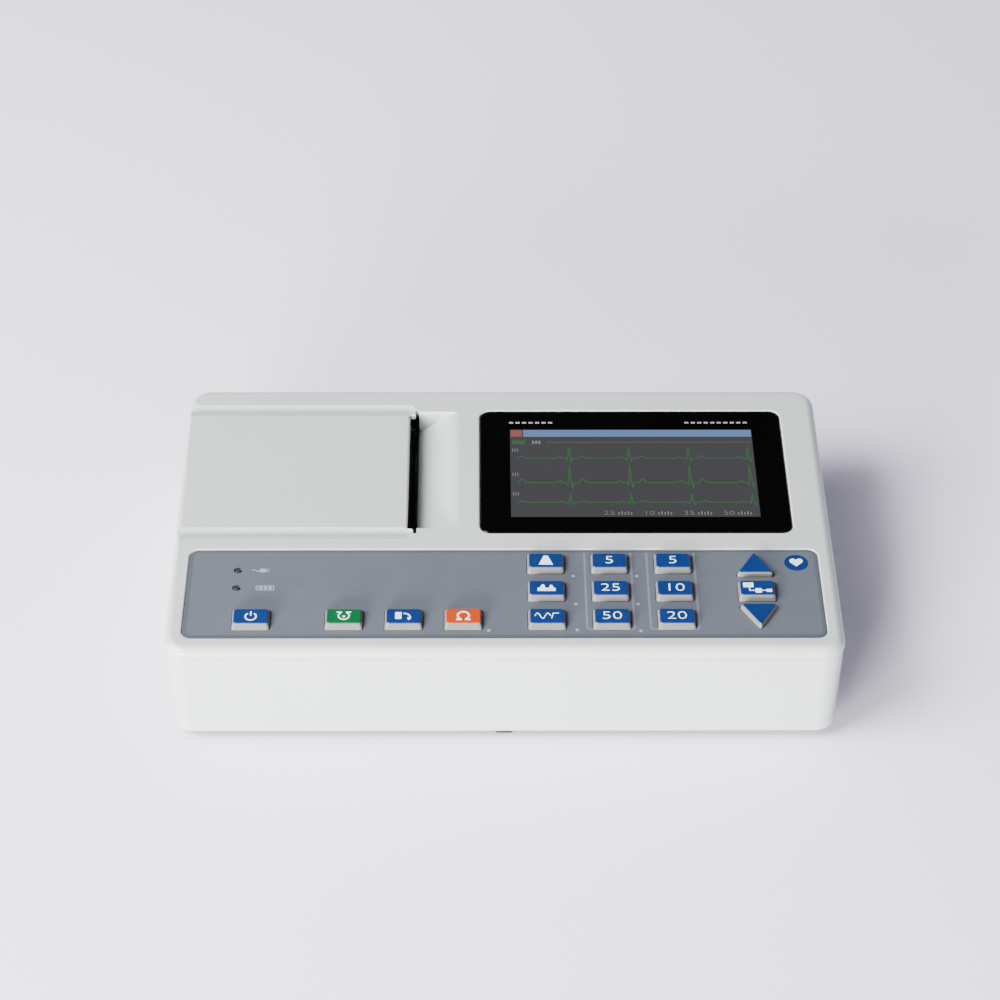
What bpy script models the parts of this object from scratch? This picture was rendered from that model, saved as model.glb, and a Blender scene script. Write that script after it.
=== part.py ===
"""Portable three-channel ECG recorder, closed and standing on its feet.

Metres, +Z up, +X to the right of the person using it, +Y away from them. The origin is on the table
under the middle of the housing. Each named object is one physical piece. An object that moves has its
origin on its joint's axis, or hangs from an empty that has.
"""

import math

import bmesh
import bpy
from mathutils import Matrix, Vector

# ---- Driving dimensions ---------------------------------------------------------------------------

HALF_WIDTH = 0.145
HALF_DEPTH = 0.090
BASE_Z = 0.004
SEAM_Z = 0.0485
TOP_Z = 0.054
WALL = 0.0025
TOP_PLATE = 0.003
GAP = 0.0003
CORNER_RADIUS = 0.010
TOP_EDGE_RADIUS = 0.004
BOTTOM_EDGE_RADIUS = 0.0025
DRAFT_ANGLE = math.radians(1.5)

PLATE_UNDERSIDE = TOP_Z - TOP_PLATE
FLOOR_TOP = BASE_Z + WALL

# Paper bay, its sliding cover and the ramp that the paper leaves over
COVER_Y = (-0.0135, 0.0735)
COVER_RIGHT = -0.0425
COVER_THICKNESS = 0.0027
GROOVE_HALF_WIDTH = 0.004
GROOVE_DEPTH = 0.001
RAMP_X = (-0.0385, -0.0226)
RAMP_Y = (-0.0098, 0.0723)
RAMP_DEPTH = 0.012
RAMP_WALL = 0.002

# Cover rails: tongues that run under the housing's top plate and over the tray's walls
RAIL_REACH = 0.003
RAIL_Z = (SEAM_Z + GAP, PLATE_UNDERSIDE - GAP)

# Display
WINDOW_X = (-0.0104, 0.1283)
WINDOW_Y = (-0.0134, 0.0734)
WINDOW_RADIUS = 0.005
WINDOW_THICKNESS = 0.0013
WINDOW_LEDGE = 0.004
WINDOW_POCKET_Z = TOP_Z - 0.0018

# Keypad
LABEL_X = (-0.1375, 0.1375)
LABEL_Y = (-0.0817, -0.0246)
LABEL_RADIUS = 0.0045
LABEL_POCKET_Z = TOP_Z - 0.0011
LABEL_THICKNESS = 0.0005
KEY_BASE = (0.0162, 0.0126)
KEY_TOP = (0.0146, 0.0090)
KEY_TOP_Z = 0.0562
KEY_SHOULDER_Z = TOP_Z
KEY_TRAVEL = 0.001
KEY_FLANGE_MARGIN = 0.001
KEY_FLANGE_Z = (PLATE_UNDERSIDE - 0.0011, PLATE_UNDERSIDE - 0.0004)
KEY_CORNER_RADIUS = 0.0012
KEY_CLEARANCE = 0.0003
KEY_ROW_PITCH = 0.018
KEY_BOTTOM_ROW_Y = -0.0704
KEY_COLUMN_PITCH = 0.0277
KEY_FIRST_COLUMN_X = 0.0182
ARROW_COLUMN_X = 0.1092
PRINT_KEY_PITCH = 0.0255
PRINT_KEY_FIRST_X = -0.0686
POWER_KEY_X = -0.1083
ARROW_RADIUS = (0.0099, 0.0082)
ARROW_OFFSET_Y = 0.0146
LIGHT_X = -0.1157
LIGHT_Y = (-0.0382, -0.0496)
LIGHT_RADIUS = 0.0016

# Printer: roller, gears and print head. Every axis here runs along Y.
PLATEN_AXIS = (-0.0455, 0.036)
PLATEN_RADIUS = 0.005
SHAFT_RADIUS = 0.002
BUSH_RADIUS = 0.0035
BUSH_BORE = 0.00212
PAPER_Y = (-0.0100, 0.0700)
ARM_Y = ((-0.0129, -0.0111), (0.0711, 0.0729))
ARM_X = (-0.052, -0.0428)
GEAR_MODULE = 0.0007
PLATEN_TEETH = 18
IDLER_TEETH = 22
PINION_TEETH = 8
GEAR_Y = (0.0750, 0.0775)
MESH_CLEARANCE = 0.00008
PINION_OFFSET_X = 0.003
HEAD_PIVOT = (-0.036, 0.0115)
HEAD_PIN_RADIUS = 0.0015
HEAD_SPRING_Y = (0.008, 0.040)
HEAD_SPRING_Z = 0.032

# Tray that holds the paper pack and the printer
TRAY_X = (-0.1395, -0.0185)
TRAY_Y = (-0.0155, 0.0802)
TRAY_WALL = 0.002
TRAY_TOP = SEAM_Z
TRAY_RIGHT_TOP = 0.0445

# Fixings
SCREW_POSTS = [(x, y) for x in (-0.134, 0.134) for y in (-0.084, 0.084)]
SCREW_HEAD_RADIUS = 0.0025
SCREW_SHANK_RADIUS = 0.0015
SCREW_HEAD_Z = (0.0062, 0.0085)
SCREW_END_Z = 0.0505
FOOT_PLACES = [(x, y) for x in (-0.122, 0.122) for y in (-0.070, 0.070)]
FOOT_RADIUS = (0.0062, 0.0070)
FRONT_FOOT_WIDTH = 0.008
FRONT_FOOT_Y = (-0.0845, -0.0785)
CORNER_NAMES = ["front_left", "rear_left", "front_right", "rear_right"]

# Battery door in the underside: a plate with a screwed tab on its right and two hooks on its left
DOOR_X = (0.0013, 0.0837)
DOOR_Y = (-0.0817, -0.0043)
DOOR_TOP_Z = 0.006
DOOR_TAB_X = (0.080, 0.0957)
DOOR_TAB_DEPTH = 0.0114
DOOR_HOOK_PLACES = (-0.066, -0.020)
DOOR_HOOK_DEPTH = 0.010
DOOR_SCREW = (0.0905, -0.043)
DOOR_SCREW_RADIUS = 0.0027
DOOR_SHANK_RADIUS = 0.0011

# Rear and side connectors. Each pair is a width and a height.
CONNECTOR_Z = 0.027
INLET_X = 0.095
INLET_RECESS = (0.0328, 0.0238)
INLET_FLANGE = (0.0320, 0.0230)
INLET_HOLE = (0.0282, 0.0208)
INLET_BODY = (0.0274, 0.0200)
INLET_SOCKET = (0.0240, 0.0164)
INLET_PIN = (0.002, 0.004)
INLET_PIN_OFFSETS = ((-0.007, -0.002), (0.0, 0.002), (0.007, -0.002))
EARTH_X = 0.060
EARTH_RECESS_RADIUS = 0.0075
EARTH_STUD_RADIUS = 0.0030
EARTH_NUT_RADIUS = 0.0050
PATIENT_Y = 0.0
PATIENT_RECESS = (0.0405, 0.0138)
PATIENT_FLANGE = (0.0392, 0.0125)
PATIENT_HOLE = (0.026, 0.0112)
PATIENT_SHELL = (0.0250, 0.0084)
PATIENT_SHELL_INSIDE = (0.0238, 0.0072)
PATIENT_INSERT = (0.0226, 0.0060)
PATIENT_LOCK_OFFSET = 0.01665
PATIENT_LOCK_RADIUS = 0.0028
USB_Y = 0.045
USB_HOLE = (0.0152, 0.0078)
USB_SHELL = (0.0146, 0.0072)
USB_SHELL_INSIDE = (0.0130, 0.0056)
USB_TONGUE_WIDTH = 0.0110
USB_TONGUE_RISE = (0.0003, 0.0019)

# Boards and battery
SCREEN_X = (-0.0015, 0.1195)
SCREEN_Y = (-0.0090, 0.0670)
SCREEN_EAR_X = (-0.0085, 0.1265)
SCREEN_EAR_PLACES = (0.0, 0.058)
KEYPAD_BOARD_X = (-0.1245, 0.1245)
KEYPAD_BOARD_Y = (-0.0800, -0.0258)
KEYPAD_BOARD_TOP = 0.0465
BOARD_THICKNESS = 0.0016
MAIN_BOARD_X = (-0.0120, 0.1260)
MAIN_BOARD_Y = (-0.0720, 0.0600)
MAIN_BOARD_Z = 0.0315
SUPPLY_X = (0.010, 0.112)
SUPPLY_Y = (0.004, 0.062)
SUPPLY_Z = 0.0090
BATTERY_X = (0.0050, 0.0800)
BATTERY_Y = (-0.0780, -0.0080)
BATTERY_Z = (0.0082, 0.0272)
# Middle X, middle Y, width, depth and height of the parts that stand on each board
MAIN_BOARD_PARTS = (
    (0.035, -0.010, 0.028, 0.028, 0.0030),
    (0.080, 0.020, 0.018, 0.014, 0.0020),
    (0.100, -0.040, 0.030, 0.020, 0.0080),
    (0.010, 0.040, 0.012, 0.024, 0.0060),
)
SUPPLY_PARTS = (
    (0.035, 0.034, 0.026, 0.030, 0.0180),
    (0.066, 0.040, 0.016, 0.022, 0.0150),
    (0.094, 0.030, 0.020, 0.036, 0.0120),
)

# ---- Colours and finishes -------------------------------------------------------------------------

FINISHES = {
    "housing_plastic": ((0.66, 0.69, 0.66), 0.42, 0.0),
    "label_grey": ((0.23, 0.27, 0.31), 0.45, 0.0),
    "window_black": ((0.004, 0.004, 0.005), 0.08, 0.0),
    "screen_glass": ((0.07, 0.08, 0.08), 0.2, 0.0),
    "key_blue": ((0.010, 0.095, 0.32), 0.4, 0.0),
    "key_green": ((0.004, 0.21, 0.06), 0.4, 0.0),
    "key_orange": ((0.92, 0.11, 0.008), 0.4, 0.0),
    "black_plastic": ((0.02, 0.02, 0.022), 0.5, 0.0),
    "tray_plastic": ((0.10, 0.10, 0.11), 0.5, 0.0),
    "lens": ((0.05, 0.05, 0.05), 0.2, 0.0),
    "paper": ((0.85, 0.80, 0.78), 0.9, 0.0),
    "rubber": ((0.03, 0.03, 0.03), 0.85, 0.0),
    "steel": ((0.55, 0.55, 0.56), 0.3, 1.0),
    "brass": ((0.60, 0.43, 0.16), 0.3, 1.0),
    "gear_nylon": ((0.75, 0.74, 0.70), 0.5, 0.0),
    "circuit_board": ((0.02, 0.14, 0.06), 0.5, 0.0),
    "battery_wrap": ((0.02, 0.10, 0.22), 0.45, 0.0),
    "ceramic": ((0.75, 0.75, 0.72), 0.4, 0.0),
}


def finish(name):
    """The Principled material of this name, made on first use."""
    found = bpy.data.materials.get(name)
    if found:
        return found
    colour, roughness, metallic = FINISHES[name]
    made = bpy.data.materials.new(name)
    made.use_nodes = True
    shader = made.node_tree.nodes["Principled BSDF"]
    shader.inputs["Base Color"].default_value = (*colour, 1.0)
    shader.inputs["Roughness"].default_value = roughness
    shader.inputs["Metallic"].default_value = metallic
    return made


# ---- Scene and modelling helpers ------------------------------------------------------------------

SMOOTH_ANGLE = math.radians(35)
FLAT_TOLERANCE = 1e-5
PARTS = None
CUTTERS = None
EMPTIES = {}


def clear_scene():
    for obj in list(bpy.data.objects):
        bpy.data.objects.remove(obj, do_unlink=True)


def new_collection(name):
    made = bpy.data.collections.new(name)
    bpy.context.scene.collection.children.link(made)
    return made


def empty(name, place, parent=None):
    """An empty at a world position, for the pieces of one moving assembly."""
    made = bpy.data.objects.new(name, None)
    made.empty_display_size = 0.01
    PARTS.objects.link(made)
    EMPTIES[name] = Vector(place)
    made.location = place
    if parent:
        made.parent = bpy.data.objects[parent]
        made.location = Vector(place) - EMPTIES[parent]
    return made


def add_block(bm, x, y, z, corner=0.0, segments=4, foot=None, crown=None):
    """A box over the three spans. foot and crown shrink its bottom and top by that much on each side."""
    size = Vector((x[1] - x[0], y[1] - y[0], z[1] - z[0]))
    centre = Vector((x[0] + x[1], y[0] + y[1], z[0] + z[1])) / 2
    place = Matrix.Translation(centre) @ Matrix.Diagonal((*size, 1.0))
    verts = bmesh.ops.create_cube(bm, size=1.0, matrix=place)["verts"]
    for inset, is_wanted in ((foot, lambda v: v.co.z < centre.z), (crown, lambda v: v.co.z > centre.z)):
        if inset is None:
            continue
        for vert in filter(is_wanted, verts):
            vert.co.x -= math.copysign(inset[0], vert.co.x - centre.x)
            vert.co.y -= math.copysign(inset[1], vert.co.y - centre.y)
    if corner:
        edges = {edge for vert in verts for edge in vert.link_edges}
        upright = [e for e in edges if abs(e.verts[0].co.z - e.verts[1].co.z) > FLAT_TOLERANCE]
        bmesh.ops.bevel(bm, geom=upright, offset=corner, segments=segments, profile=0.5, affect="EDGES")


def add_wedge(bm, x, y, left_z, right_z):
    """A box whose bottom and top heights change from its left end to its right end."""
    centre = Vector((x[0] + x[1], y[0] + y[1], 0)) / 2
    place = Matrix.Translation(centre) @ Matrix.Diagonal((x[1] - x[0], y[1] - y[0], 1.0, 1.0))
    for vert in bmesh.ops.create_cube(bm, size=1.0, matrix=place)["verts"]:
        heights = left_z if vert.co.x < centre.x else right_z
        vert.co.z = heights[0] if vert.co.z < 0 else heights[1]


AXIS_TURNS = {
    "X": Matrix.Rotation(math.pi / 2, 4, "Y"),
    "Y": Matrix.Rotation(-math.pi / 2, 4, "X"),
    "Z": Matrix.Identity(4),
}


def add_rod(bm, axis, centre, radius, span, segments=20, end_radius=None):
    """A cylinder or cone along an axis. centre holds the two other coordinates, in X, Y, Z order."""
    middle = (span[0] + span[1]) / 2
    place = {
        "X": Vector((middle, *centre)),
        "Y": Vector((centre[0], middle, centre[1])),
        "Z": Vector((*centre, middle)),
    }[axis]
    bmesh.ops.create_cone(
        bm,
        cap_ends=True,
        segments=segments,
        radius1=radius,
        radius2=radius if end_radius is None else end_radius,
        depth=span[1] - span[0],
        matrix=Matrix.Translation(place) @ AXIS_TURNS[axis],
    )


def bevel_rim(bm, z, radius, segments):
    """Rounds the closed loop of edges round the flat face at this height."""
    rim = [
        edge
        for edge in bm.edges
        if all(abs(v.co.z - z) < FLAT_TOLERANCE for v in edge.verts)
        and any(abs(face.normal.z) < 0.9 for face in edge.link_faces)
    ]
    bmesh.ops.bevel(bm, geom=rim, offset=radius, segments=segments, profile=0.5, affect="EDGES")


def object_of(name, bm, collection, place=(0, 0, 0)):
    """Writes the bmesh, drawn in world coordinates, into an object whose origin is at place."""
    bmesh.ops.recalc_face_normals(bm, faces=bm.faces[:])
    bmesh.ops.translate(bm, verts=bm.verts[:], vec=-Vector(place))
    mesh = bpy.data.meshes.new(name)
    bm.to_mesh(mesh)
    bm.free()
    made = bpy.data.objects.new(name, mesh)
    made.location = place
    collection.objects.link(made)
    return made


def piece(name, bm, material, place=(0, 0, 0), parent="ecg_recorder"):
    made = object_of(name, bm, PARTS, place)
    made.data.materials.append(finish(material))
    made.data.shade_smooth()
    made.data.set_sharp_from_angle(angle=SMOOTH_ANGLE)
    made.parent = bpy.data.objects[parent]
    made.location = Vector(place) - EMPTIES[parent]
    return made


def combine(target, operation, bm, overlapping=False):
    """Cuts the bmesh out of the target, or joins it on, with a Boolean that stays on the target.

    overlapping says that the bmesh's own shapes run into one another.
    """
    tool = object_of(f"{target.name}_{operation.lower()}_{len(target.modifiers)}", bm, CUTTERS)
    tool.hide_render = True
    tool.display_type = "WIRE"
    boolean = target.modifiers.new(tool.name, "BOOLEAN")
    boolean.operation = operation
    boolean.solver = "EXACT"
    boolean.use_self = overlapping
    boolean.object = tool


def grown(span, margin):
    return (span[0] - margin, span[1] + margin)


def around(centre, size):
    return (centre - size / 2, centre + size / 2)


# ---- Housing --------------------------------------------------------------------------------------


def draft_inset(z):
    """How far the lower walls have drawn in at this height below the seam."""
    return math.tan(DRAFT_ANGLE) * (SEAM_Z - z)


def key_places():
    """Name, X, Y and finish of each rectangular key."""
    places = [("key_power", POWER_KEY_X, KEY_BOTTOM_ROW_Y, "key_blue")]
    for step, (name, colour) in enumerate(
        (("key_start", "key_green"), ("key_copy", "key_blue"), ("key_stop", "key_orange"))
    ):
        places.append((name, PRINT_KEY_FIRST_X + step * PRINT_KEY_PITCH, KEY_BOTTOM_ROW_Y, colour))
    columns = (
        ("key_filter", "key_lead", "key_mode"),
        ("key_speed_50", "key_speed_25", "key_speed_5"),
        ("key_gain_20", "key_gain_10", "key_gain_5"),
    )
    for column, names in enumerate(columns):
        x = KEY_FIRST_COLUMN_X + column * KEY_COLUMN_PITCH
        for row, name in enumerate(names):
            places.append((name, x, KEY_BOTTOM_ROW_Y + row * KEY_ROW_PITCH, "key_blue"))
    places.append(("key_menu", ARROW_COLUMN_X, KEY_BOTTOM_ROW_Y + KEY_ROW_PITCH, "key_blue"))
    return places


def arrow_places():
    """Name, Y and turn about Z of the two triangular keys. The turn points the apex away or near."""
    middle = KEY_BOTTOM_ROW_Y + KEY_ROW_PITCH
    return (
        ("key_up", middle + ARROW_OFFSET_Y, 0.0),
        ("key_down", middle - ARROW_OFFSET_Y, math.pi),
    )


def add_triangle(bm, y, turn, radius, z, end_radius=None):
    """An upright three-sided prism or frustum in the arrow column, widened to the key's proportions."""
    bmesh.ops.create_cone(
        bm,
        cap_ends=True,
        segments=3,
        radius1=radius,
        radius2=radius if end_radius is None else end_radius,
        depth=z[1] - z[0],
        matrix=Matrix.Translation((ARROW_COLUMN_X, y, (z[0] + z[1]) / 2)) @ Matrix.Rotation(turn, 4, "Z"),
    )


def add_key_holes(bm, z, margin):
    for _, x, y, _ in key_places():
        add_block(bm, grown(around(x, KEY_BASE[0]), margin), grown(around(y, KEY_BASE[1]), margin), z)
    for _, y, turn in arrow_places():
        # A triangle's sides lie at half its corner radius, so a side margin is twice that on the radius.
        add_triangle(bm, y, turn, ARROW_RADIUS[0] + 2 * margin, z)


def add_light_holes(bm, z, margin):
    for y in LIGHT_Y:
        add_rod(bm, "Z", (LIGHT_X, y), LIGHT_RADIUS + margin, z, segments=16)


def add_grip_grooves(bm, x):
    """The two shallow hollows along the cover's edges, as the undersides of wide round bars."""
    radius = (GROOVE_HALF_WIDTH**2 + GROOVE_DEPTH**2) / (2 * GROOVE_DEPTH)
    for y in COVER_Y:
        add_rod(bm, "X", (y, TOP_Z - GROOVE_DEPTH + radius), radius, x, segments=48)


def make_upper_housing():
    above = TOP_Z + 0.002
    bm = bmesh.new()
    add_block(
        bm,
        (-HALF_WIDTH, HALF_WIDTH),
        (-HALF_DEPTH, HALF_DEPTH),
        (SEAM_Z + GAP, TOP_Z),
        corner=CORNER_RADIUS,
    )
    bevel_rim(bm, TOP_Z, TOP_EDGE_RADIUS, segments=3)
    housing = piece("upper_housing", bm, "housing_plastic")

    hollow = bmesh.new()
    add_block(
        hollow,
        (-HALF_WIDTH + WALL, HALF_WIDTH - WALL),
        (-HALF_DEPTH + WALL, HALF_DEPTH - WALL),
        (SEAM_Z - WALL, PLATE_UNDERSIDE),
        corner=CORNER_RADIUS - WALL,
    )
    combine(housing, "DIFFERENCE", hollow)

    # The ramp's outer body and the bosses that take the housing screws and the keypad board
    ramp_root = 0.002
    boss_radius = 0.0032
    boss_foot = 0.0465
    stud_radius = 0.002
    stud_places = [(x, y) for x in (-0.1215, 0.1215) for y in (-0.0770, -0.0285)]
    bodies = bmesh.new()
    add_wedge(
        bodies,
        (RAMP_X[0], RAMP_X[1] + ramp_root),
        grown(RAMP_Y, RAMP_WALL),
        (TOP_Z - RAMP_DEPTH - RAMP_WALL - 0.0004, TOP_Z - 0.001),
        (PLATE_UNDERSIDE + 0.0002, TOP_Z - 0.001),
    )
    for place in SCREW_POSTS:
        add_rod(bodies, "Z", place, boss_radius, (boss_foot, PLATE_UNDERSIDE + 0.001), segments=16)
    for place in stud_places:
        add_rod(bodies, "Z", place, stud_radius, (0.0468, PLATE_UNDERSIDE + 0.001), segments=12)
    combine(housing, "UNION", bodies)

    openings = bmesh.new()
    add_block(openings, (-0.150, RAMP_X[0]), grown(COVER_Y, GAP), (0.0478, above))
    add_block(openings, WINDOW_X, WINDOW_Y, (WINDOW_POCKET_Z, above), corner=WINDOW_RADIUS)
    add_block(openings, LABEL_X, LABEL_Y, (LABEL_POCKET_Z, above), corner=LABEL_RADIUS)
    for place in SCREW_POSTS:
        add_rod(openings, "Z", place, 0.0018, (0.0455, 0.0515), segments=12)
    combine(housing, "DIFFERENCE", openings)

    slope = RAMP_DEPTH / (RAMP_X[1] - RAMP_X[0])
    lead_in = 0.001
    ramp = bmesh.new()
    add_wedge(
        ramp,
        (RAMP_X[0] - lead_in, RAMP_X[1] + lead_in),
        RAMP_Y,
        (TOP_Z - RAMP_DEPTH - slope * lead_in, above),
        (TOP_Z + slope * lead_in, above),
    )
    add_block(
        ramp,
        grown(WINDOW_X, -WINDOW_LEDGE),
        grown(WINDOW_Y, -WINDOW_LEDGE),
        (PLATE_UNDERSIDE - 0.001, WINDOW_POCKET_Z + 0.0005),
    )
    add_key_holes(ramp, (PLATE_UNDERSIDE - 0.001, LABEL_POCKET_Z + 0.0005), KEY_CLEARANCE)
    add_light_holes(ramp, (PLATE_UNDERSIDE - 0.001, LABEL_POCKET_Z + 0.0005), KEY_CLEARANCE)
    add_block(
        ramp,
        (-0.150, -HALF_WIDTH + WALL + 0.001),
        grown(COVER_Y, RAIL_REACH + GAP),
        (SEAM_Z - 0.001, PLATE_UNDERSIDE),
    )
    combine(housing, "DIFFERENCE", ramp, overlapping=True)

    grooves = bmesh.new()
    add_grip_grooves(grooves, (-0.150, RAMP_X[0] - 0.0015))
    combine(housing, "DIFFERENCE", grooves)


def make_lower_housing():
    outer_foot = draft_inset(BASE_Z)
    inner_foot = draft_inset(FLOOR_TOP)
    bm = bmesh.new()
    add_block(
        bm,
        (-HALF_WIDTH, HALF_WIDTH),
        (-HALF_DEPTH, HALF_DEPTH),
        (BASE_Z, SEAM_Z),
        corner=CORNER_RADIUS,
        foot=(outer_foot, outer_foot),
    )
    bevel_rim(bm, BASE_Z, BOTTOM_EDGE_RADIUS, segments=2)
    housing = piece("lower_housing", bm, "housing_plastic")

    hollow = bmesh.new()
    add_block(
        hollow,
        (-HALF_WIDTH + WALL, HALF_WIDTH - WALL),
        (-HALF_DEPTH + WALL, HALF_DEPTH - WALL),
        (FLOOR_TOP, SEAM_Z + 0.003),
        corner=CORNER_RADIUS - WALL,
        foot=(inner_foot, inner_foot),
    )
    combine(housing, "DIFFERENCE", hollow)

    # Screw posts, stand-offs for the main board, pads behind the recessed connectors, door boss
    post_radius = 0.0034
    standoff_radius = 0.003
    bodies = bmesh.new()
    for place in SCREW_POSTS:
        add_rod(bodies, "Z", place, post_radius, (FLOOR_TOP - 0.001, 0.0462), segments=16)
    for place in ((-0.006, -0.067), (0.121, -0.067), (-0.006, 0.055), (0.121, 0.055)):
        add_rod(bodies, "Z", place, standoff_radius, (FLOOR_TOP - 0.001, 0.0312), segments=10)
    rear_pad_y = (0.0815, 0.0885)
    side_pad_x = (0.1335, 0.1435)
    add_block(bodies, around(INLET_X, 0.038), rear_pad_y, around(CONNECTOR_Z, 0.028))
    add_block(bodies, around(EARTH_X, 0.020), rear_pad_y, around(CONNECTOR_Z, 0.020))
    add_block(bodies, side_pad_x, around(PATIENT_Y, 0.050), around(CONNECTOR_Z, 0.020))
    add_block(bodies, (0.083, 0.098), around(DOOR_SCREW[1], 0.016), (FLOOR_TOP - 0.001, 0.012))
    combine(housing, "UNION", bodies)

    cuts = bmesh.new()
    for place in SCREW_POSTS:
        add_rod(cuts, "Z", place, SCREW_SHANK_RADIUS + GAP, (0.0085, 0.048), segments=12)
        add_rod(cuts, "Z", place, SCREW_HEAD_RADIUS + GAP, (0.003, 0.0088), segments=16)
    inlet, earth = (INLET_X, CONNECTOR_Z), (EARTH_X, CONNECTOR_Z)
    patient, usb = (PATIENT_Y, CONNECTOR_Z), (USB_Y, CONNECTOR_Z)
    rear_recess_y = (0.0862, 0.092)
    side_recess_x = (0.1375, 0.147)
    add_rear_block(cuts, inlet, INLET_RECESS, rear_recess_y, corner=0.001)
    add_rear_block(cuts, inlet, INLET_HOLE, (0.080, 0.0864))
    add_rod(cuts, "Y", earth, EARTH_RECESS_RADIUS, (0.0835, 0.092), segments=20)
    add_rod(cuts, "Y", earth, EARTH_STUD_RADIUS + GAP, (0.080, 0.0837), segments=16)
    add_side_block(cuts, patient, PATIENT_RECESS, side_recess_x, corner=0.001)
    add_side_block(cuts, patient, PATIENT_HOLE, (0.131, 0.1377))
    add_side_block(cuts, usb, USB_HOLE, (0.139, 0.147))
    add_block(cuts, grown(DOOR_X, GAP), grown(DOOR_Y, GAP), (0.003, 0.0075))
    add_block(cuts, (0.083, 0.096), around(DOOR_SCREW[1], 0.012), (0.003, 0.0062))
    add_rod(cuts, "Z", DOOR_SCREW, DOOR_SHANK_RADIUS + GAP, (0.006, 0.0113), segments=12)
    combine(housing, "DIFFERENCE", cuts, overlapping=True)


def make_battery_door():
    bm = bmesh.new()
    add_block(bm, DOOR_X, DOOR_Y, (BASE_Z, DOOR_TOP_Z))
    door = piece("battery_door", bm, "housing_plastic")
    extras = bmesh.new()
    add_block(extras, DOOR_TAB_X, around(DOOR_SCREW[1], DOOR_TAB_DEPTH), (BASE_Z, DOOR_TOP_Z - 0.0001))
    for y in DOOR_HOOK_PLACES:
        hook_y = around(y, DOOR_HOOK_DEPTH)
        add_block(extras, (0.0014, 0.0034), hook_y, (DOOR_TOP_Z - 0.001, 0.0079))
        add_block(extras, (-0.0014, 0.0024), hook_y, (0.0068, 0.0078))
    combine(door, "UNION", extras, overlapping=True)
    holes = bmesh.new()
    add_rod(holes, "Z", DOOR_SCREW, DOOR_SHANK_RADIUS + GAP, (0.003, 0.0065), segments=12)
    add_rod(holes, "Z", DOOR_SCREW, DOOR_SCREW_RADIUS + 0.0004, (0.003, 0.0050), segments=16)
    combine(door, "DIFFERENCE", holes, overlapping=True)
    head_z = (0.0041, 0.0048)
    make_screw("battery_door_screw", DOOR_SCREW, DOOR_SCREW_RADIUS, head_z, DOOR_SHANK_RADIUS, 0.0110)


def make_screw(name, place, head_radius, head_z, shank_radius, end_z):
    """A screw that stands head down."""
    bm = bmesh.new()
    add_rod(bm, "Z", place, head_radius, head_z, segments=16)
    screw = piece(name, bm, "steel")
    shank = bmesh.new()
    shank_start = (head_z[0] + head_z[1]) / 2
    add_rod(shank, "Z", place, shank_radius, (shank_start, end_z), segments=12)
    combine(screw, "UNION", shank)


def make_fixings():
    for name, place in zip(CORNER_NAMES, SCREW_POSTS):
        screw = f"housing_screw_{name}"
        make_screw(screw, place, SCREW_HEAD_RADIUS, SCREW_HEAD_Z, SCREW_SHANK_RADIUS, SCREW_END_Z)
    foot_z = (0.0, BASE_Z - GAP)
    for name, place in zip(CORNER_NAMES, FOOT_PLACES):
        bm = bmesh.new()
        add_rod(bm, "Z", place, FOOT_RADIUS[0], foot_z, segments=20, end_radius=FOOT_RADIUS[1])
        piece(f"foot_{name}", bm, "rubber")
    bm = bmesh.new()
    add_block(bm, around(0.0, FRONT_FOOT_WIDTH), FRONT_FOOT_Y, foot_z, corner=0.0015, segments=2)
    piece("foot_front_centre", bm, "rubber")


# ---- Display and keypad ---------------------------------------------------------------------------


def make_display():
    bm = bmesh.new()
    bottom = WINDOW_POCKET_Z + GAP
    add_block(
        bm,
        grown(WINDOW_X, -GAP),
        grown(WINDOW_Y, -GAP),
        (bottom, bottom + WINDOW_THICKNESS),
        corner=WINDOW_RADIUS - GAP,
    )
    piece("display_window", bm, "window_black")

    back_z = 0.0470
    module = bmesh.new()
    add_block(module, SCREEN_X, SCREEN_Y, (back_z, WINDOW_POCKET_Z - 0.0002))
    screen = piece("lcd_module", module, "screen_glass")
    ears = bmesh.new()
    for y in SCREEN_EAR_PLACES:
        add_block(ears, SCREEN_EAR_X, around(y, 0.009), (back_z, PLATE_UNDERSIDE - 0.0005))
    combine(screen, "UNION", ears)


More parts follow.
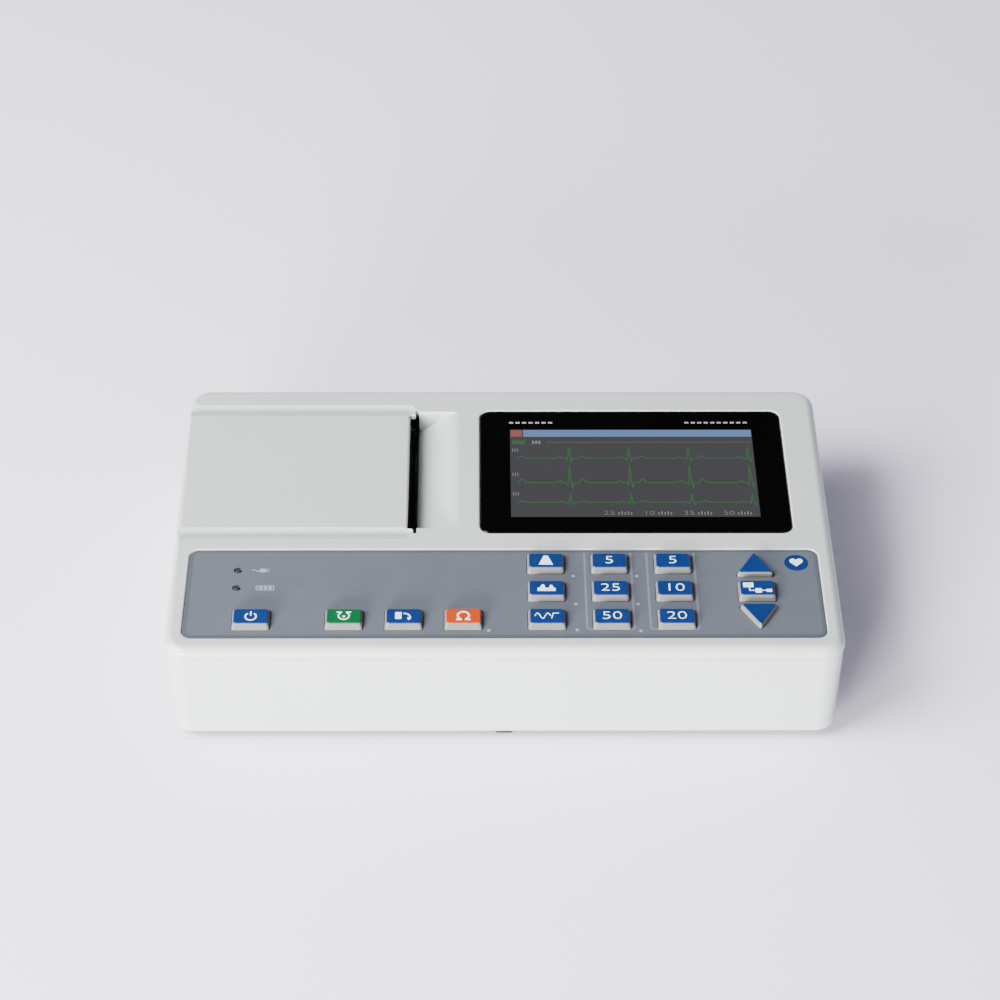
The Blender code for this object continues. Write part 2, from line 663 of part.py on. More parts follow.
def make_keypad():
    bm = bmesh.new()
    bottom = LABEL_POCKET_Z + GAP
    add_block(
        bm,
        grown(LABEL_X, -GAP),
        grown(LABEL_Y, -GAP),
        (bottom, bottom + LABEL_THICKNESS),
        corner=LABEL_RADIUS - GAP,
    )
    label = piece("keypad_label", bm, "label_grey")
    holes = bmesh.new()
    add_key_holes(holes, (bottom - 0.001, TOP_Z + 0.001), KEY_CLEARANCE)
    add_light_holes(holes, (bottom - 0.001, TOP_Z + 0.001), KEY_CLEARANCE)
    combine(label, "DIFFERENCE", holes)

    taper = ((KEY_BASE[0] - KEY_TOP[0]) / 2, (KEY_BASE[1] - KEY_TOP[1]) / 2)
    for name, x, y, colour in key_places():
        cap = bmesh.new()
        span_x, span_y = around(x, KEY_BASE[0]), around(y, KEY_BASE[1])
        flange_x, flange_y = grown(span_x, KEY_FLANGE_MARGIN), grown(span_y, KEY_FLANGE_MARGIN)
        add_block(cap, flange_x, flange_y, KEY_FLANGE_Z)
        key = piece(name, cap, colour, place=(x, y, PLATE_UNDERSIDE))
        upright = bmesh.new()
        add_block(upright, span_x, span_y, (KEY_FLANGE_Z[0] + 0.0002, KEY_SHOULDER_Z - 0.0004))
        combine(key, "UNION", upright)
        crown = bmesh.new()
        add_block(
            crown,
            span_x,
            span_y,
            (KEY_SHOULDER_Z - 0.0009, KEY_TOP_Z),
            corner=KEY_CORNER_RADIUS,
            segments=2,
            crown=taper,
        )
        combine(key, "UNION", crown)
    for name, y, turn in arrow_places():
        cap = bmesh.new()
        add_triangle(cap, y, turn, ARROW_RADIUS[0] + 2 * KEY_FLANGE_MARGIN, KEY_FLANGE_Z)
        key = piece(name, cap, "key_blue", place=(ARROW_COLUMN_X, y, PLATE_UNDERSIDE))
        crown = bmesh.new()
        crown_z = (KEY_FLANGE_Z[0] + 0.0002, KEY_TOP_Z)
        add_triangle(crown, y, turn, ARROW_RADIUS[0], crown_z, ARROW_RADIUS[1])
        combine(key, "UNION", crown)

    for name, y in zip(("battery_light_pipe", "mains_light_pipe"), reversed(LIGHT_Y)):
        lens = bmesh.new()
        add_rod(lens, "Z", (LIGHT_X, y), LIGHT_RADIUS, (0.0470, TOP_Z - 0.0001), segments=16)
        piece(name, lens, "lens")

    board = bmesh.new()
    board_z = (KEYPAD_BOARD_TOP - BOARD_THICKNESS, KEYPAD_BOARD_TOP)
    add_block(board, KEYPAD_BOARD_X, KEYPAD_BOARD_Y, board_z)
    keypad_board = piece("keypad_board", board, "circuit_board")
    switches = bmesh.new()
    switch_size = 0.006
    switch_z = (KEYPAD_BOARD_TOP - BOARD_THICKNESS / 2, KEYPAD_BOARD_TOP + 0.002)
    centres = [(x, y) for _, x, y, _ in key_places()]
    centres += [(ARROW_COLUMN_X, y) for _, y, _ in arrow_places()]
    for x, y in centres:
        add_block(switches, around(x, switch_size), around(y, switch_size), switch_z)
    combine(keypad_board, "UNION", switches)


# ---- Paper bay and printer ------------------------------------------------------------------------


def make_paper_cover():
    slide = (-HALF_WIDTH, (COVER_Y[0] + COVER_Y[1]) / 2, TOP_Z)
    plate_z = (TOP_Z - COVER_THICKNESS, TOP_Z)
    bm = bmesh.new()
    add_block(bm, (-HALF_WIDTH, COVER_RIGHT), COVER_Y, plate_z)
    end_edges = {
        -HALF_WIDTH: (TOP_EDGE_RADIUS * 0.6, 3),
        COVER_RIGHT: (0.001, 2),
    }
    for x, (radius, segments) in end_edges.items():
        on_line = [v for v in bm.verts if (v.co - Vector((x, v.co.y, TOP_Z))).length < FLAT_TOLERANCE]
        edge = [e for e in bm.edges if all(v in on_line for v in e.verts)]
        bmesh.ops.bevel(bm, geom=edge, offset=radius, segments=segments, profile=0.5, affect="EDGES")
    cover = piece("paper_cover", bm, "housing_plastic", place=slide, parent="cover_slide")

    web = 0.003
    arm_foot = PLATEN_AXIS[1] - 0.006
    frame = bmesh.new()
    add_block(frame, (-HALF_WIDTH, -HALF_WIDTH + WALL), COVER_Y, (RAIL_Z[0], TOP_Z - 0.0024))
    for outer, inward in ((COVER_Y[0], 1), (COVER_Y[1], -1)):
        rail = sorted((outer - inward * RAIL_REACH, outer + inward * web))
        add_block(frame, (-HALF_WIDTH, COVER_RIGHT), rail, RAIL_Z)
        rib = sorted((outer, outer + inward * web))
        rib_x = (-HALF_WIDTH + 0.001, COVER_RIGHT - 0.001)
        add_block(frame, rib_x, rib, (RAIL_Z[0] + 0.001, TOP_Z - 0.002))
    for arm in ARM_Y:
        add_block(frame, ARM_X, arm, (arm_foot, TOP_Z - 0.002))
    combine(cover, "UNION", frame, overlapping=True)

    cuts = bmesh.new()
    for arm in ARM_Y:
        add_rod(cuts, "Y", PLATEN_AXIS, BUSH_RADIUS + GAP, grown(arm, 0.001), segments=20)
    combine(cover, "DIFFERENCE", cuts)
    grooves = bmesh.new()
    add_grip_grooves(grooves, (-0.150, RAMP_X[0]))
    combine(cover, "DIFFERENCE", grooves)


def gear_outline(teeth, phase):
    """Corner points of a spur gear with straight-flanked teeth, in the gear's own plane."""
    pitch_radius = GEAR_MODULE * teeth / 2
    tip, root = pitch_radius + 0.8 * GEAR_MODULE, pitch_radius - 1.1 * GEAR_MODULE
    half_pitch_width = math.pi * GEAR_MODULE / 4 - MESH_CLEARANCE
    half_tip, half_root = half_pitch_width * 0.55, half_pitch_width * 1.25
    points = []
    for tooth in range(teeth):
        middle = phase + 2 * math.pi * tooth / teeth
        for radius, offset in ((root, -half_root), (tip, -half_tip), (tip, half_tip), (root, half_root)):
            angle = middle + offset / radius
            points.append((radius * math.cos(angle), radius * math.sin(angle)))
    return points


def add_gear(bm, centre, teeth, phase, span):
    """A gear across a Y span. Its outline is drawn in X and Z round the centre, then extruded."""
    ring = [bm.verts.new((centre[0] + u, span[0], centre[1] + v)) for u, v in gear_outline(teeth, phase)]
    face = bm.faces.new(ring)
    extruded = bmesh.ops.extrude_face_region(bm, geom=[face])["geom"]
    far = [item for item in extruded if isinstance(item, bmesh.types.BMVert)]
    bmesh.ops.translate(bm, verts=far, vec=(0, span[1] - span[0], 0))


def idler_axis():
    return (PLATEN_AXIS[0] + GEAR_MODULE * (PLATEN_TEETH + IDLER_TEETH) / 2, PLATEN_AXIS[1])


def pinion_axis():
    """The pinion sits below the idler, a set distance to its right and in mesh with it."""
    reach = GEAR_MODULE * (IDLER_TEETH + PINION_TEETH) / 2
    x, z = idler_axis()
    return (x + PINION_OFFSET_X, z - math.sqrt(reach**2 - PINION_OFFSET_X**2))


def idler_phase():
    """Puts a gap of the idler opposite the platen gear's tooth, which points along +X."""
    return math.pi + math.pi / IDLER_TEETH


def pinion_phase():
    """Puts the pinion's teeth half a pitch out of step with the idler's on the line between their axes."""
    from_idler = math.atan2(pinion_axis()[1] - idler_axis()[1], pinion_axis()[0] - idler_axis()[0])
    idler_step, pinion_step = 2 * math.pi / IDLER_TEETH, 2 * math.pi / PINION_TEETH
    share = ((idler_phase() - from_idler) / idler_step) % 1.0
    return from_idler + math.pi + (0.5 - share) * pinion_step


def make_platen():
    place = (PLATEN_AXIS[0], 0.0, PLATEN_AXIS[1])
    shaft = bmesh.new()
    add_rod(shaft, "Y", PLATEN_AXIS, SHAFT_RADIUS, (-0.0131, 0.0780), segments=32)
    piece("platen_shaft", shaft, "steel", place, parent="platen_axis")

    sleeve = bmesh.new()
    add_rod(sleeve, "Y", PLATEN_AXIS, PLATEN_RADIUS, PAPER_Y, segments=24)
    rubber = piece("platen_rubber", sleeve, "rubber", place, parent="platen_axis")
    bore = bmesh.new()
    add_rod(bore, "Y", PLATEN_AXIS, SHAFT_RADIUS + GAP, grown(PAPER_Y, 0.001), segments=24)
    combine(rubber, "DIFFERENCE", bore)

    teeth = bmesh.new()
    add_gear(teeth, PLATEN_AXIS, PLATEN_TEETH, 0.0, GEAR_Y)
    gear = piece("platen_gear", teeth, "gear_nylon", place, parent="platen_axis")
    hub = bmesh.new()
    add_rod(hub, "Y", PLATEN_AXIS, SHAFT_RADIUS + GAP, grown(GEAR_Y, 0.001), segments=20)
    combine(gear, "DIFFERENCE", hub)

    for name, arm in zip(("platen_bush_front", "platen_bush_rear"), ARM_Y):
        ring = bmesh.new()
        add_rod(ring, "Y", PLATEN_AXIS, BUSH_RADIUS, arm, segments=20)
        bush = piece(name, ring, "brass", place, parent="cover_slide")
        hole = bmesh.new()
        add_rod(hole, "Y", PLATEN_AXIS, BUSH_BORE, grown(arm, 0.001), segments=32)
        combine(bush, "DIFFERENCE", hole)


def make_drive():
    idler, pinion = idler_axis(), pinion_axis()
    axle_radius = 0.0015
    teeth = bmesh.new()
    add_gear(teeth, idler, IDLER_TEETH, idler_phase(), GEAR_Y)
    gear = piece("idler_gear", teeth, "gear_nylon", (idler[0], 0.0, idler[1]))
    bore = bmesh.new()
    add_rod(bore, "Y", idler, axle_radius + 0.0001, grown(GEAR_Y, 0.001), segments=24)
    combine(gear, "DIFFERENCE", bore)

    pin = bmesh.new()
    add_rod(pin, "Y", idler, axle_radius, (0.0740, 0.0800), segments=24)
    axle = piece("idler_axle", pin, "steel")
    head = bmesh.new()
    add_rod(head, "Y", idler, 0.0023, (0.0736, 0.0746), segments=16)
    combine(axle, "UNION", head)

    shaft = bmesh.new()
    add_gear(shaft, pinion, PINION_TEETH, pinion_phase(), GEAR_Y)
    driver = piece("motor_pinion", shaft, "brass", (pinion[0], 0.0, pinion[1]))
    stem = bmesh.new()
    add_rod(stem, "Y", pinion, 0.001, (0.0600, 0.0771), segments=12)
    combine(driver, "UNION", stem)

    can = bmesh.new()
    add_rod(can, "Y", pinion, 0.0074, (0.0500, 0.0700), segments=24)
    motor = piece("stepper_motor", can, "steel")
    boss = bmesh.new()
    add_rod(boss, "Y", pinion, 0.0028, (0.0690, 0.0715), segments=16)
    combine(motor, "UNION", boss)
    bore = bmesh.new()
    add_rod(bore, "Y", pinion, 0.0014, (0.0590, 0.0720), segments=12)
    combine(motor, "DIFFERENCE", bore)


def add_spring(name, y, x_span):
    """A compression spring along X, as a round wire on a helix of straight steps."""
    coil_radius, wire_radius, turns, steps = 0.0022, 0.0004, 5, 9
    curve = bpy.data.curves.new(name, "CURVE")
    curve.dimensions = "3D"
    curve.bevel_depth = wire_radius
    curve.bevel_resolution = 1
    curve.use_fill_caps = True
    spline = curve.splines.new("POLY")
    count = turns * steps + 1
    spline.points.add(count - 1)
    start, end = x_span[0] + wire_radius, x_span[1] - wire_radius
    for index in range(count):
        angle = 2 * math.pi * index / steps
        x = start + (end - start) * index / (count - 1)
        spline.points[index].co = (x, coil_radius * math.cos(angle), coil_radius * math.sin(angle), 1.0)
    made = bpy.data.objects.new(name, curve)
    PARTS.objects.link(made)
    made.data.materials.append(finish("steel"))
    made.parent = bpy.data.objects["ecg_recorder"]
    made.location = (0.0, y, HEAD_SPRING_Z)


def make_print_head():
    place = (HEAD_PIVOT[0], 0.0, HEAD_PIVOT[1])
    bm = bmesh.new()
    add_block(bm, (-0.0402, -0.0393), (-0.0095, 0.0695), (0.0300, 0.0392))
    piece("print_head", bm, "ceramic", place, parent="head_pivot")

    plate = bmesh.new()
    add_block(plate, (-0.0390, -0.0373), (-0.0080, 0.0680), (0.0100, 0.0385))
    bracket = piece("head_bracket", plate, "steel", place, parent="head_pivot")
    lugs = bmesh.new()
    for y in ((-0.0080, -0.0050), (0.0650, 0.0680)):
        add_block(lugs, (-0.0380, -0.0330), y, (0.0095, 0.0140))
    combine(bracket, "UNION", lugs)
    bore = bmesh.new()
    add_rod(bore, "Y", HEAD_PIVOT, HEAD_PIN_RADIUS + 0.0001, (-0.0100, 0.0700), segments=24)
    combine(bracket, "DIFFERENCE", bore)

    pin = bmesh.new()
    add_rod(pin, "Y", HEAD_PIVOT, HEAD_PIN_RADIUS, (-0.0153, 0.0726), segments=24)
    piece("head_pivot_pin", pin, "steel")
    for name, y in zip(("head_spring_front", "head_spring_rear"), HEAD_SPRING_Y):
        add_spring(name, y, (-0.0370, -0.0208))


def make_paper_tray():
    floor_z = (FLOOR_TOP + GAP, FLOOR_TOP + GAP + TRAY_WALL)
    bm = bmesh.new()
    add_block(bm, TRAY_X, TRAY_Y, (floor_z[0], TRAY_RIGHT_TOP))
    tray = piece("paper_tray", bm, "tray_plastic")
    hollow = bmesh.new()
    add_block(hollow, grown(TRAY_X, -TRAY_WALL), grown(TRAY_Y, -TRAY_WALL), (floor_z[1], TRAY_TOP + 0.001))
    combine(tray, "DIFFERENCE", hollow)

    # Taller side walls that carry the cover's rails, the paper stop and the motor's plate
    left = (TRAY_X[0], COVER_RIGHT)
    stop_x = (-0.0590, -0.0575)
    plate_y = (0.0708, 0.0728)
    extras = bmesh.new()
    add_block(extras, left, (TRAY_Y[0], TRAY_Y[0] + TRAY_WALL), (TRAY_RIGHT_TOP - 0.002, TRAY_TOP))
    add_block(extras, left, (TRAY_Y[1] - TRAY_WALL, TRAY_Y[1]), (TRAY_RIGHT_TOP - 0.002, TRAY_TOP))
    add_block(extras, left, (0.0748, TRAY_Y[1] - 0.0005), (0.0472, TRAY_TOP - 0.0001))
    add_block(extras, stop_x, (-0.0120, 0.0700), (floor_z[1] - 0.001, 0.0260))
    add_block(extras, (-0.0375, -0.0195), plate_y, (floor_z[1] - 0.001, 0.0350))
    combine(tray, "UNION", extras, overlapping=True)

    holes = bmesh.new()
    add_rod(holes, "Y", HEAD_PIVOT, HEAD_PIN_RADIUS + GAP, (-0.0165, -0.0125), segments=16)
    add_rod(holes, "Y", HEAD_PIVOT, HEAD_PIN_RADIUS + GAP, (0.0700, 0.0735), segments=16)
    add_rod(holes, "Y", pinion_axis(), 0.0031, (0.0700, 0.0735), segments=16)
    add_rod(holes, "Y", idler_axis(), 0.0018, (0.0775, 0.0810), segments=16)
    combine(tray, "DIFFERENCE", holes)

    pack = bmesh.new()
    add_block(pack, (-0.1310, -0.0610), PAPER_Y, (floor_z[1] + GAP, 0.0285))
    piece("paper_pack", pack, "paper")


# ---- Electronics, battery and connectors ----------------------------------------------------------


def make_board(name, x, y, bottom, parts):
    """A circuit board with blocks for the parts that stand on it."""
    top = bottom + BOARD_THICKNESS
    bm = bmesh.new()
    add_block(bm, x, y, (bottom, top))
    board = piece(name, bm, "circuit_board")
    blocks = bmesh.new()
    for middle_x, middle_y, width, depth, height in parts:
        add_block(blocks, around(middle_x, width), around(middle_y, depth), (top - 0.0005, top + height))
    combine(board, "UNION", blocks)


def make_electronics():
    make_board("main_board", MAIN_BOARD_X, MAIN_BOARD_Y, MAIN_BOARD_Z, MAIN_BOARD_PARTS)
    make_board("power_supply", SUPPLY_X, SUPPLY_Y, SUPPLY_Z, SUPPLY_PARTS)
    bm = bmesh.new()
    add_block(bm, BATTERY_X, BATTERY_Y, BATTERY_Z, corner=0.003, segments=2)
    piece("battery_pack", bm, "battery_wrap")


def add_rear_block(bm, centre, size, y, corner=0.0, segments=4):
    """A block across the rear wall. centre is its X and Z, size its width and height."""
    add_block(bm, around(centre[0], size[0]), y, around(centre[1], size[1]), corner, segments)


def add_side_block(bm, centre, size, x, corner=0.0, segments=4):
    """A block across the right-hand wall. centre is its Y and Z, size its width and height."""
    add_block(bm, x, around(centre[0], size[0]), around(centre[1], size[1]), corner, segments)


def make_mains_inlet():
    """A flange in the rear recess, a body through the wall and a socket with three flat pins."""
    centre = (INLET_X, CONNECTOR_Z)
    bm = bmesh.new()
    add_rear_block(bm, centre, INLET_FLANGE, (0.0865, 0.0888), corner=0.001, segments=1)
    inlet = piece("mains_inlet", bm, "black_plastic")
    body = bmesh.new()
    add_rear_block(body, centre, INLET_BODY, (0.0660, 0.0870))
    combine(inlet, "UNION", body)
    socket = bmesh.new()
    add_rear_block(socket, centre, INLET_SOCKET, (0.0720, 0.0900))
    combine(inlet, "DIFFERENCE", socket)
    pins = bmesh.new()
    for x, z in INLET_PIN_OFFSETS:
        add_rear_block(pins, (INLET_X + x, CONNECTOR_Z + z), INLET_PIN, (0.0710, 0.0835))
    combine(inlet, "UNION", pins)


def make_earth_stud():
    """A plain pin with its hexagonal nut, inside a round recess."""
    centre = (EARTH_X, CONNECTOR_Z)
    bm = bmesh.new()
    add_rod(bm, "Y", centre, EARTH_STUD_RADIUS, (0.0790, 0.0888), segments=20)
    stud = piece("earth_stud", bm, "brass")
    nut = bmesh.new()
    add_rod(nut, "Y", centre, EARTH_NUT_RADIUS, (0.0838, 0.0862), segments=6)
    combine(stud, "UNION", nut)


def make_patient_connector():
    """The fifteen-way patient lead connector with its two screw locks."""
    centre = (PATIENT_Y, CONNECTOR_Z)
    bm = bmesh.new()
    add_side_block(bm, centre, PATIENT_FLANGE, (0.1378, 0.1390))
    connector = piece("patient_connector", bm, "steel")
    shell = bmesh.new()
    add_side_block(shell, centre, PATIENT_SHELL, (0.1290, 0.1441))
    for side in (-1, 1):
        lock = (PATIENT_Y + side * PATIENT_LOCK_OFFSET, CONNECTOR_Z)
        add_rod(shell, "X", lock, PATIENT_LOCK_RADIUS, (0.1386, 0.1441), segments=6)
    combine(connector, "UNION", shell)
    hollow = bmesh.new()
    add_side_block(hollow, centre, PATIENT_SHELL_INSIDE, (0.1385, 0.1450))
    combine(connector, "DIFFERENCE", hollow)
    insert = bmesh.new()
    add_side_block(insert, centre, PATIENT_INSERT, (0.1370, 0.1432))
    combine(connector, "UNION", insert)


def make_usb_port():
    centre = (USB_Y, CONNECTOR_Z)
    bm = bmesh.new()
    add_side_block(bm, centre, USB_SHELL, (0.1290, 0.1438))
    port = piece("usb_port", bm, "steel")
    hollow = bmesh.new()
    add_side_block(hollow, centre, USB_SHELL_INSIDE, (0.1310, 0.1450))
    combine(port, "DIFFERENCE", hollow)
    tongue = bmesh.new()
    tongue_z = (CONNECTOR_Z + USB_TONGUE_RISE[0], CONNECTOR_Z + USB_TONGUE_RISE[1])
    add_block(tongue, (0.1300, 0.1420), around(USB_Y, USB_TONGUE_WIDTH), tongue_z)
    combine(port, "UNION", tongue)


def make_recorder():
    global PARTS, CUTTERS
    clear_scene()
    PARTS = new_collection("ecg_recorder")
    CUTTERS = new_collection("cutters")
    empty("ecg_recorder", (0, 0, 0))
    empty("cover_slide", (-HALF_WIDTH, (COVER_Y[0] + COVER_Y[1]) / 2, TOP_Z), "ecg_recorder")
    empty("platen_axis", (PLATEN_AXIS[0], 0.0, PLATEN_AXIS[1]), "cover_slide")
    empty("head_pivot", (HEAD_PIVOT[0], 0.0, HEAD_PIVOT[1]), "ecg_recorder")
    make_upper_housing()
    make_lower_housing()
    make_battery_door()
    make_fixings()
    make_display()
    make_keypad()
    make_paper_cover()
    make_platen()
    make_drive()
    make_print_head()
    make_paper_tray()
    make_electronics()
    make_mains_inlet()
    make_earth_stud()
    make_patient_connector()
    make_usb_port()


make_recorder()
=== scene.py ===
"""Looks of a portable three-channel ECG recorder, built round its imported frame.

Metres, +Z up, +X to the right of the person using it, +Y away from them. Places and main sizes come from
the frame's nodes. The constants hold the fine shapes that the plain solids leave out.
"""

import math

import bmesh
import bpy
from mathutils import Matrix, Vector


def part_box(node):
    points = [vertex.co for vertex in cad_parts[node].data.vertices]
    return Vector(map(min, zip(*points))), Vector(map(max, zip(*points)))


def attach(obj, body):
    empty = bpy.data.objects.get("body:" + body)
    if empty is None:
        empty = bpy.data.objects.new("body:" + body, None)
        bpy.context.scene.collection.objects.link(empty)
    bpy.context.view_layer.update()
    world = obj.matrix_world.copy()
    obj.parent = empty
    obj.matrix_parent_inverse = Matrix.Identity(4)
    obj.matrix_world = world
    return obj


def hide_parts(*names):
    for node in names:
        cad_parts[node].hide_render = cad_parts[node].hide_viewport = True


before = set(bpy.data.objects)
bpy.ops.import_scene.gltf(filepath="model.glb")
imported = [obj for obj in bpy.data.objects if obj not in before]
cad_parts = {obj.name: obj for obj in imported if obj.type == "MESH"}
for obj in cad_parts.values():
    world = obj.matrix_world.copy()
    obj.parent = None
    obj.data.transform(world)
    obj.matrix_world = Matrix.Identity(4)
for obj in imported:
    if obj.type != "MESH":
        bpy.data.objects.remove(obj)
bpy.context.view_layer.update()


def spans(node):
    """The X, Y and Z spans of a node at rest."""
    low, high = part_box(node)
    return tuple(zip(low, high))


def grown(span, margin):
    return (span[0] - margin, span[1] + margin)


def around(centre, size):
    return (centre - size / 2, centre + size / 2)


def middle(span):
    return (span[0] + span[1]) / 2


def centre_across(node, axis):
    """The middle of a node's two spans across an axis, in X, Y, Z order."""
    return tuple(middle(span) for span, name in zip(spans(node), "XYZ") if name != axis)


# ---- Sizes ----------------------------------------------------------------------------------------

HOUSING_X, HOUSING_Y, (_, TOP_Z) = spans("upper_housing")
_, _, (BASE_Z, SEAM_Z) = spans("lower_housing")
NODE_GAP = 0.0003
WALL = 0.0025
TOP_PLATE = 0.003
PLATE_UNDERSIDE = TOP_Z - TOP_PLATE
FLOOR_TOP = BASE_Z + WALL
ABOVE = 0.002
CLEAR = 0.00001
LEFT_OUTSIDE = HOUSING_X[0] - 0.005

CORNER_RADIUS = 0.010
TOP_EDGE_RADIUS = 0.004
BOTTOM_EDGE_RADIUS = 0.0025
SEAM_EDGE_RADIUS = 0.0006
SEAM_HALF_GAP = 0.00006
SEAM_STEP = 0.0003
DRAFT = math.tan(math.radians(1.5)) * (SEAM_Z - BASE_Z)

COVER_X, COVER_RAIL_Y, _ = spans("paper_cover")
RAIL_REACH = 0.003
COVER_Y = grown(COVER_RAIL_Y, -RAIL_REACH)
COVER_THICKNESS = 0.0027
COVER_LIP = 0.0011
COVER_LEFT_RADIUS = 0.0026
GROOVE_HALF_WIDTH = 0.004
GROOVE_DEPTH = 0.001
GROOVE_RUN_OUT = 0.004
RAIL_Z = (SEAM_Z + NODE_GAP, PLATE_UNDERSIDE - NODE_GAP)

SLOT_Y = (-0.0103, 0.0703)
EAR_RIGHT = -0.0399
RAMP_X = (-0.0385, -0.0226)
RAMP_Y = (-0.0098, 0.0723)
RAMP_DEPTH = 0.012
RAMP_BLEND = 0.0035
RAMP_LIP = 0.0008
RAMP_WALL = 0.002

WINDOW_X, WINDOW_Y, WINDOW_Z = spans("display_window")
WINDOW_RADIUS = 0.005
WINDOW_LIP = 0.0009
PICTURE_X = (0.0034, 0.1145)
PICTURE_Y = (-0.0025, 0.0598)

LABEL_X, LABEL_Y, LABEL_Z = spans("keypad_label")
LABEL_RADIUS = 0.0045
LABEL_LIP = 0.0008

KEY_FLANGE_MARGIN = 0.001
KEY_TAPER = (0.0008, 0.0018)
KEY_CLEARANCE = 0.0003
KEY_NODES = [
    "key_power",
    "key_start",
    "key_copy",
    "key_stop",
    "key_mode",
    "key_lead",
    "key_filter",
    "key_speed_5",
    "key_speed_25",
    "key_speed_50",
    "key_gain_5",
    "key_gain_10",
    "key_gain_20",
    "key_menu",
]
ARROW_NODES = ["key_up", "key_down"]
ARROW_RADIUS = (0.0099, 0.0086)
ARROW_CORNER = (0.0010, 0.0005)

FACE_RIM = 0.0003
FACE_OVERHANG = 0.00004
NUMERAL_WIDTH = 1.32
NUMERAL_WEIGHT = -0.016
INK = 0.00003
INK_STEP = 0.00001

SCREW_POSTS = [(x, y) for x in (-0.134, 0.134) for y in (-0.084, 0.084)]
CORNER_NAMES = ["front_left", "rear_left", "front_right", "rear_right"]
DOOR_Y = -0.043
DOOR_SCREW_X = 0.0905

SPRING_RADIUS = 0.0022
SPRING_WIRE = 0.0004
SPRING_TURNS = 6
SPRING_X = spans("head_spring_front")[0]
SPRING_LENGTH = SPRING_X[1] - SPRING_X[0] - 2 * SPRING_WIRE

# ---- Node materials -------------------------------------------------------------------------------


def link_noise(tree, scale, detail=2.0, roughness=0.5):
    """A noise texture on object coordinates, and its factor output."""
    coordinates = tree.nodes.get("coordinates")
    if coordinates is None:
        coordinates = tree.nodes.new("ShaderNodeTexCoord")
        coordinates.name = "coordinates"
    noise = tree.nodes.new("ShaderNodeTexNoise")
    noise.inputs["Scale"].default_value = scale
    noise.inputs["Detail"].default_value = detail
    noise.inputs["Roughness"].default_value = roughness
    tree.links.new(coordinates.outputs["Object"], noise.inputs["Vector"])
    return noise.outputs["Fac"]


def mapped(tree, value, low, high, start=0.3, end=0.7):
    """The value, taken from start..end to low..high."""
    node = tree.nodes.new("ShaderNodeMapRange")
    node.inputs["From Min"].default_value = start
    node.inputs["From Max"].default_value = end
    node.inputs["To Min"].default_value = low
    node.inputs["To Max"].default_value = high
    tree.links.new(value, node.inputs["Value"])
    return node.outputs["Result"]


def mixed(tree, factor, first, second):
    """A colour mix. Each side is a colour or another node's output."""
    node = tree.nodes.new("ShaderNodeMix")
    node.data_type = "RGBA"
    tree.links.new(factor, node.inputs["Factor"])
    for name, side in (("A", first), ("B", second)):
        socket = next(s for s in node.inputs if s.name == name and s.type == "RGBA")
        if isinstance(side, bpy.types.NodeSocket):
            tree.links.new(side, socket)
        else:
            socket.default_value = (*side, 1.0)
    return next(s for s in node.outputs if s.type == "RGBA")


def add_bump(tree, shader, height, distance, strength):
    """One more layer of relief on the shader's normal."""
    bump = tree.nodes.new("ShaderNodeBump")
    bump.inputs["Distance"].default_value = distance
    bump.inputs["Strength"].default_value = strength
    tree.links.new(height, bump.inputs["Height"])
    socket = shader.inputs["Normal"]
    if socket.is_linked:
        tree.links.new(socket.links[0].from_socket, bump.inputs["Normal"])
    tree.links.new(bump.outputs["Normal"], socket)


def surface(
    name,
    colour,
    roughness,
    metallic=0.0,
    tone=0.04,
    tone_scale=18.0,
    rough_spread=0.06,
    grain_scale=0.0,
    grain_depth=0.0,
    grain_strength=0.3,
    **constants,
):
    """A Principled material with drifting tone, uneven gloss and a moulded or ground grain."""
    made = bpy.data.materials.new(name)
    made.use_nodes = True
    tree = made.node_tree
    shader = tree.nodes["Principled BSDF"]
    shader.inputs["Metallic"].default_value = metallic
    for socket, value in constants.items():
        shader.inputs[socket.replace("_", " ")].default_value = value
    darker = tuple(channel * (1 - tone) for channel in colour)
    lighter = tuple(min(1.0, channel * (1 + tone)) for channel in colour)
    drift = mapped(tree, link_noise(tree, tone_scale), 0.0, 1.0)
    tree.links.new(mixed(tree, drift, darker, lighter), shader.inputs["Base Color"])
    gloss = link_noise(tree, tone_scale * 9, detail=4.0)
    low, high = max(0.02, roughness - rough_spread), min(1.0, roughness + rough_spread)
    tree.links.new(mapped(tree, gloss, low, high), shader.inputs["Roughness"])
    if grain_scale:
        grain = link_noise(tree, grain_scale, detail=3.0, roughness=0.6)
        add_bump(tree, shader, grain, grain_depth, grain_strength)
    return made


def stretched(made, factors, scale, depth, strength):
    """Adds a relief drawn out along the axes whose factor is small, such as brushing or ground lines."""
    tree = made.node_tree
    shader = tree.nodes["Principled BSDF"]
    coordinates = tree.nodes["coordinates"]
    scaling = tree.nodes.new("ShaderNodeMapping")
    scaling.inputs["Scale"].default_value = factors
    tree.links.new(coordinates.outputs["Object"], scaling.inputs["Vector"])
    noise = tree.nodes.new("ShaderNodeTexNoise")
    noise.inputs["Scale"].default_value = scale
    tree.links.new(scaling.outputs["Vector"], noise.inputs["Vector"])
    add_bump(tree, shader, noise.outputs["Fac"], depth, strength)
    return made


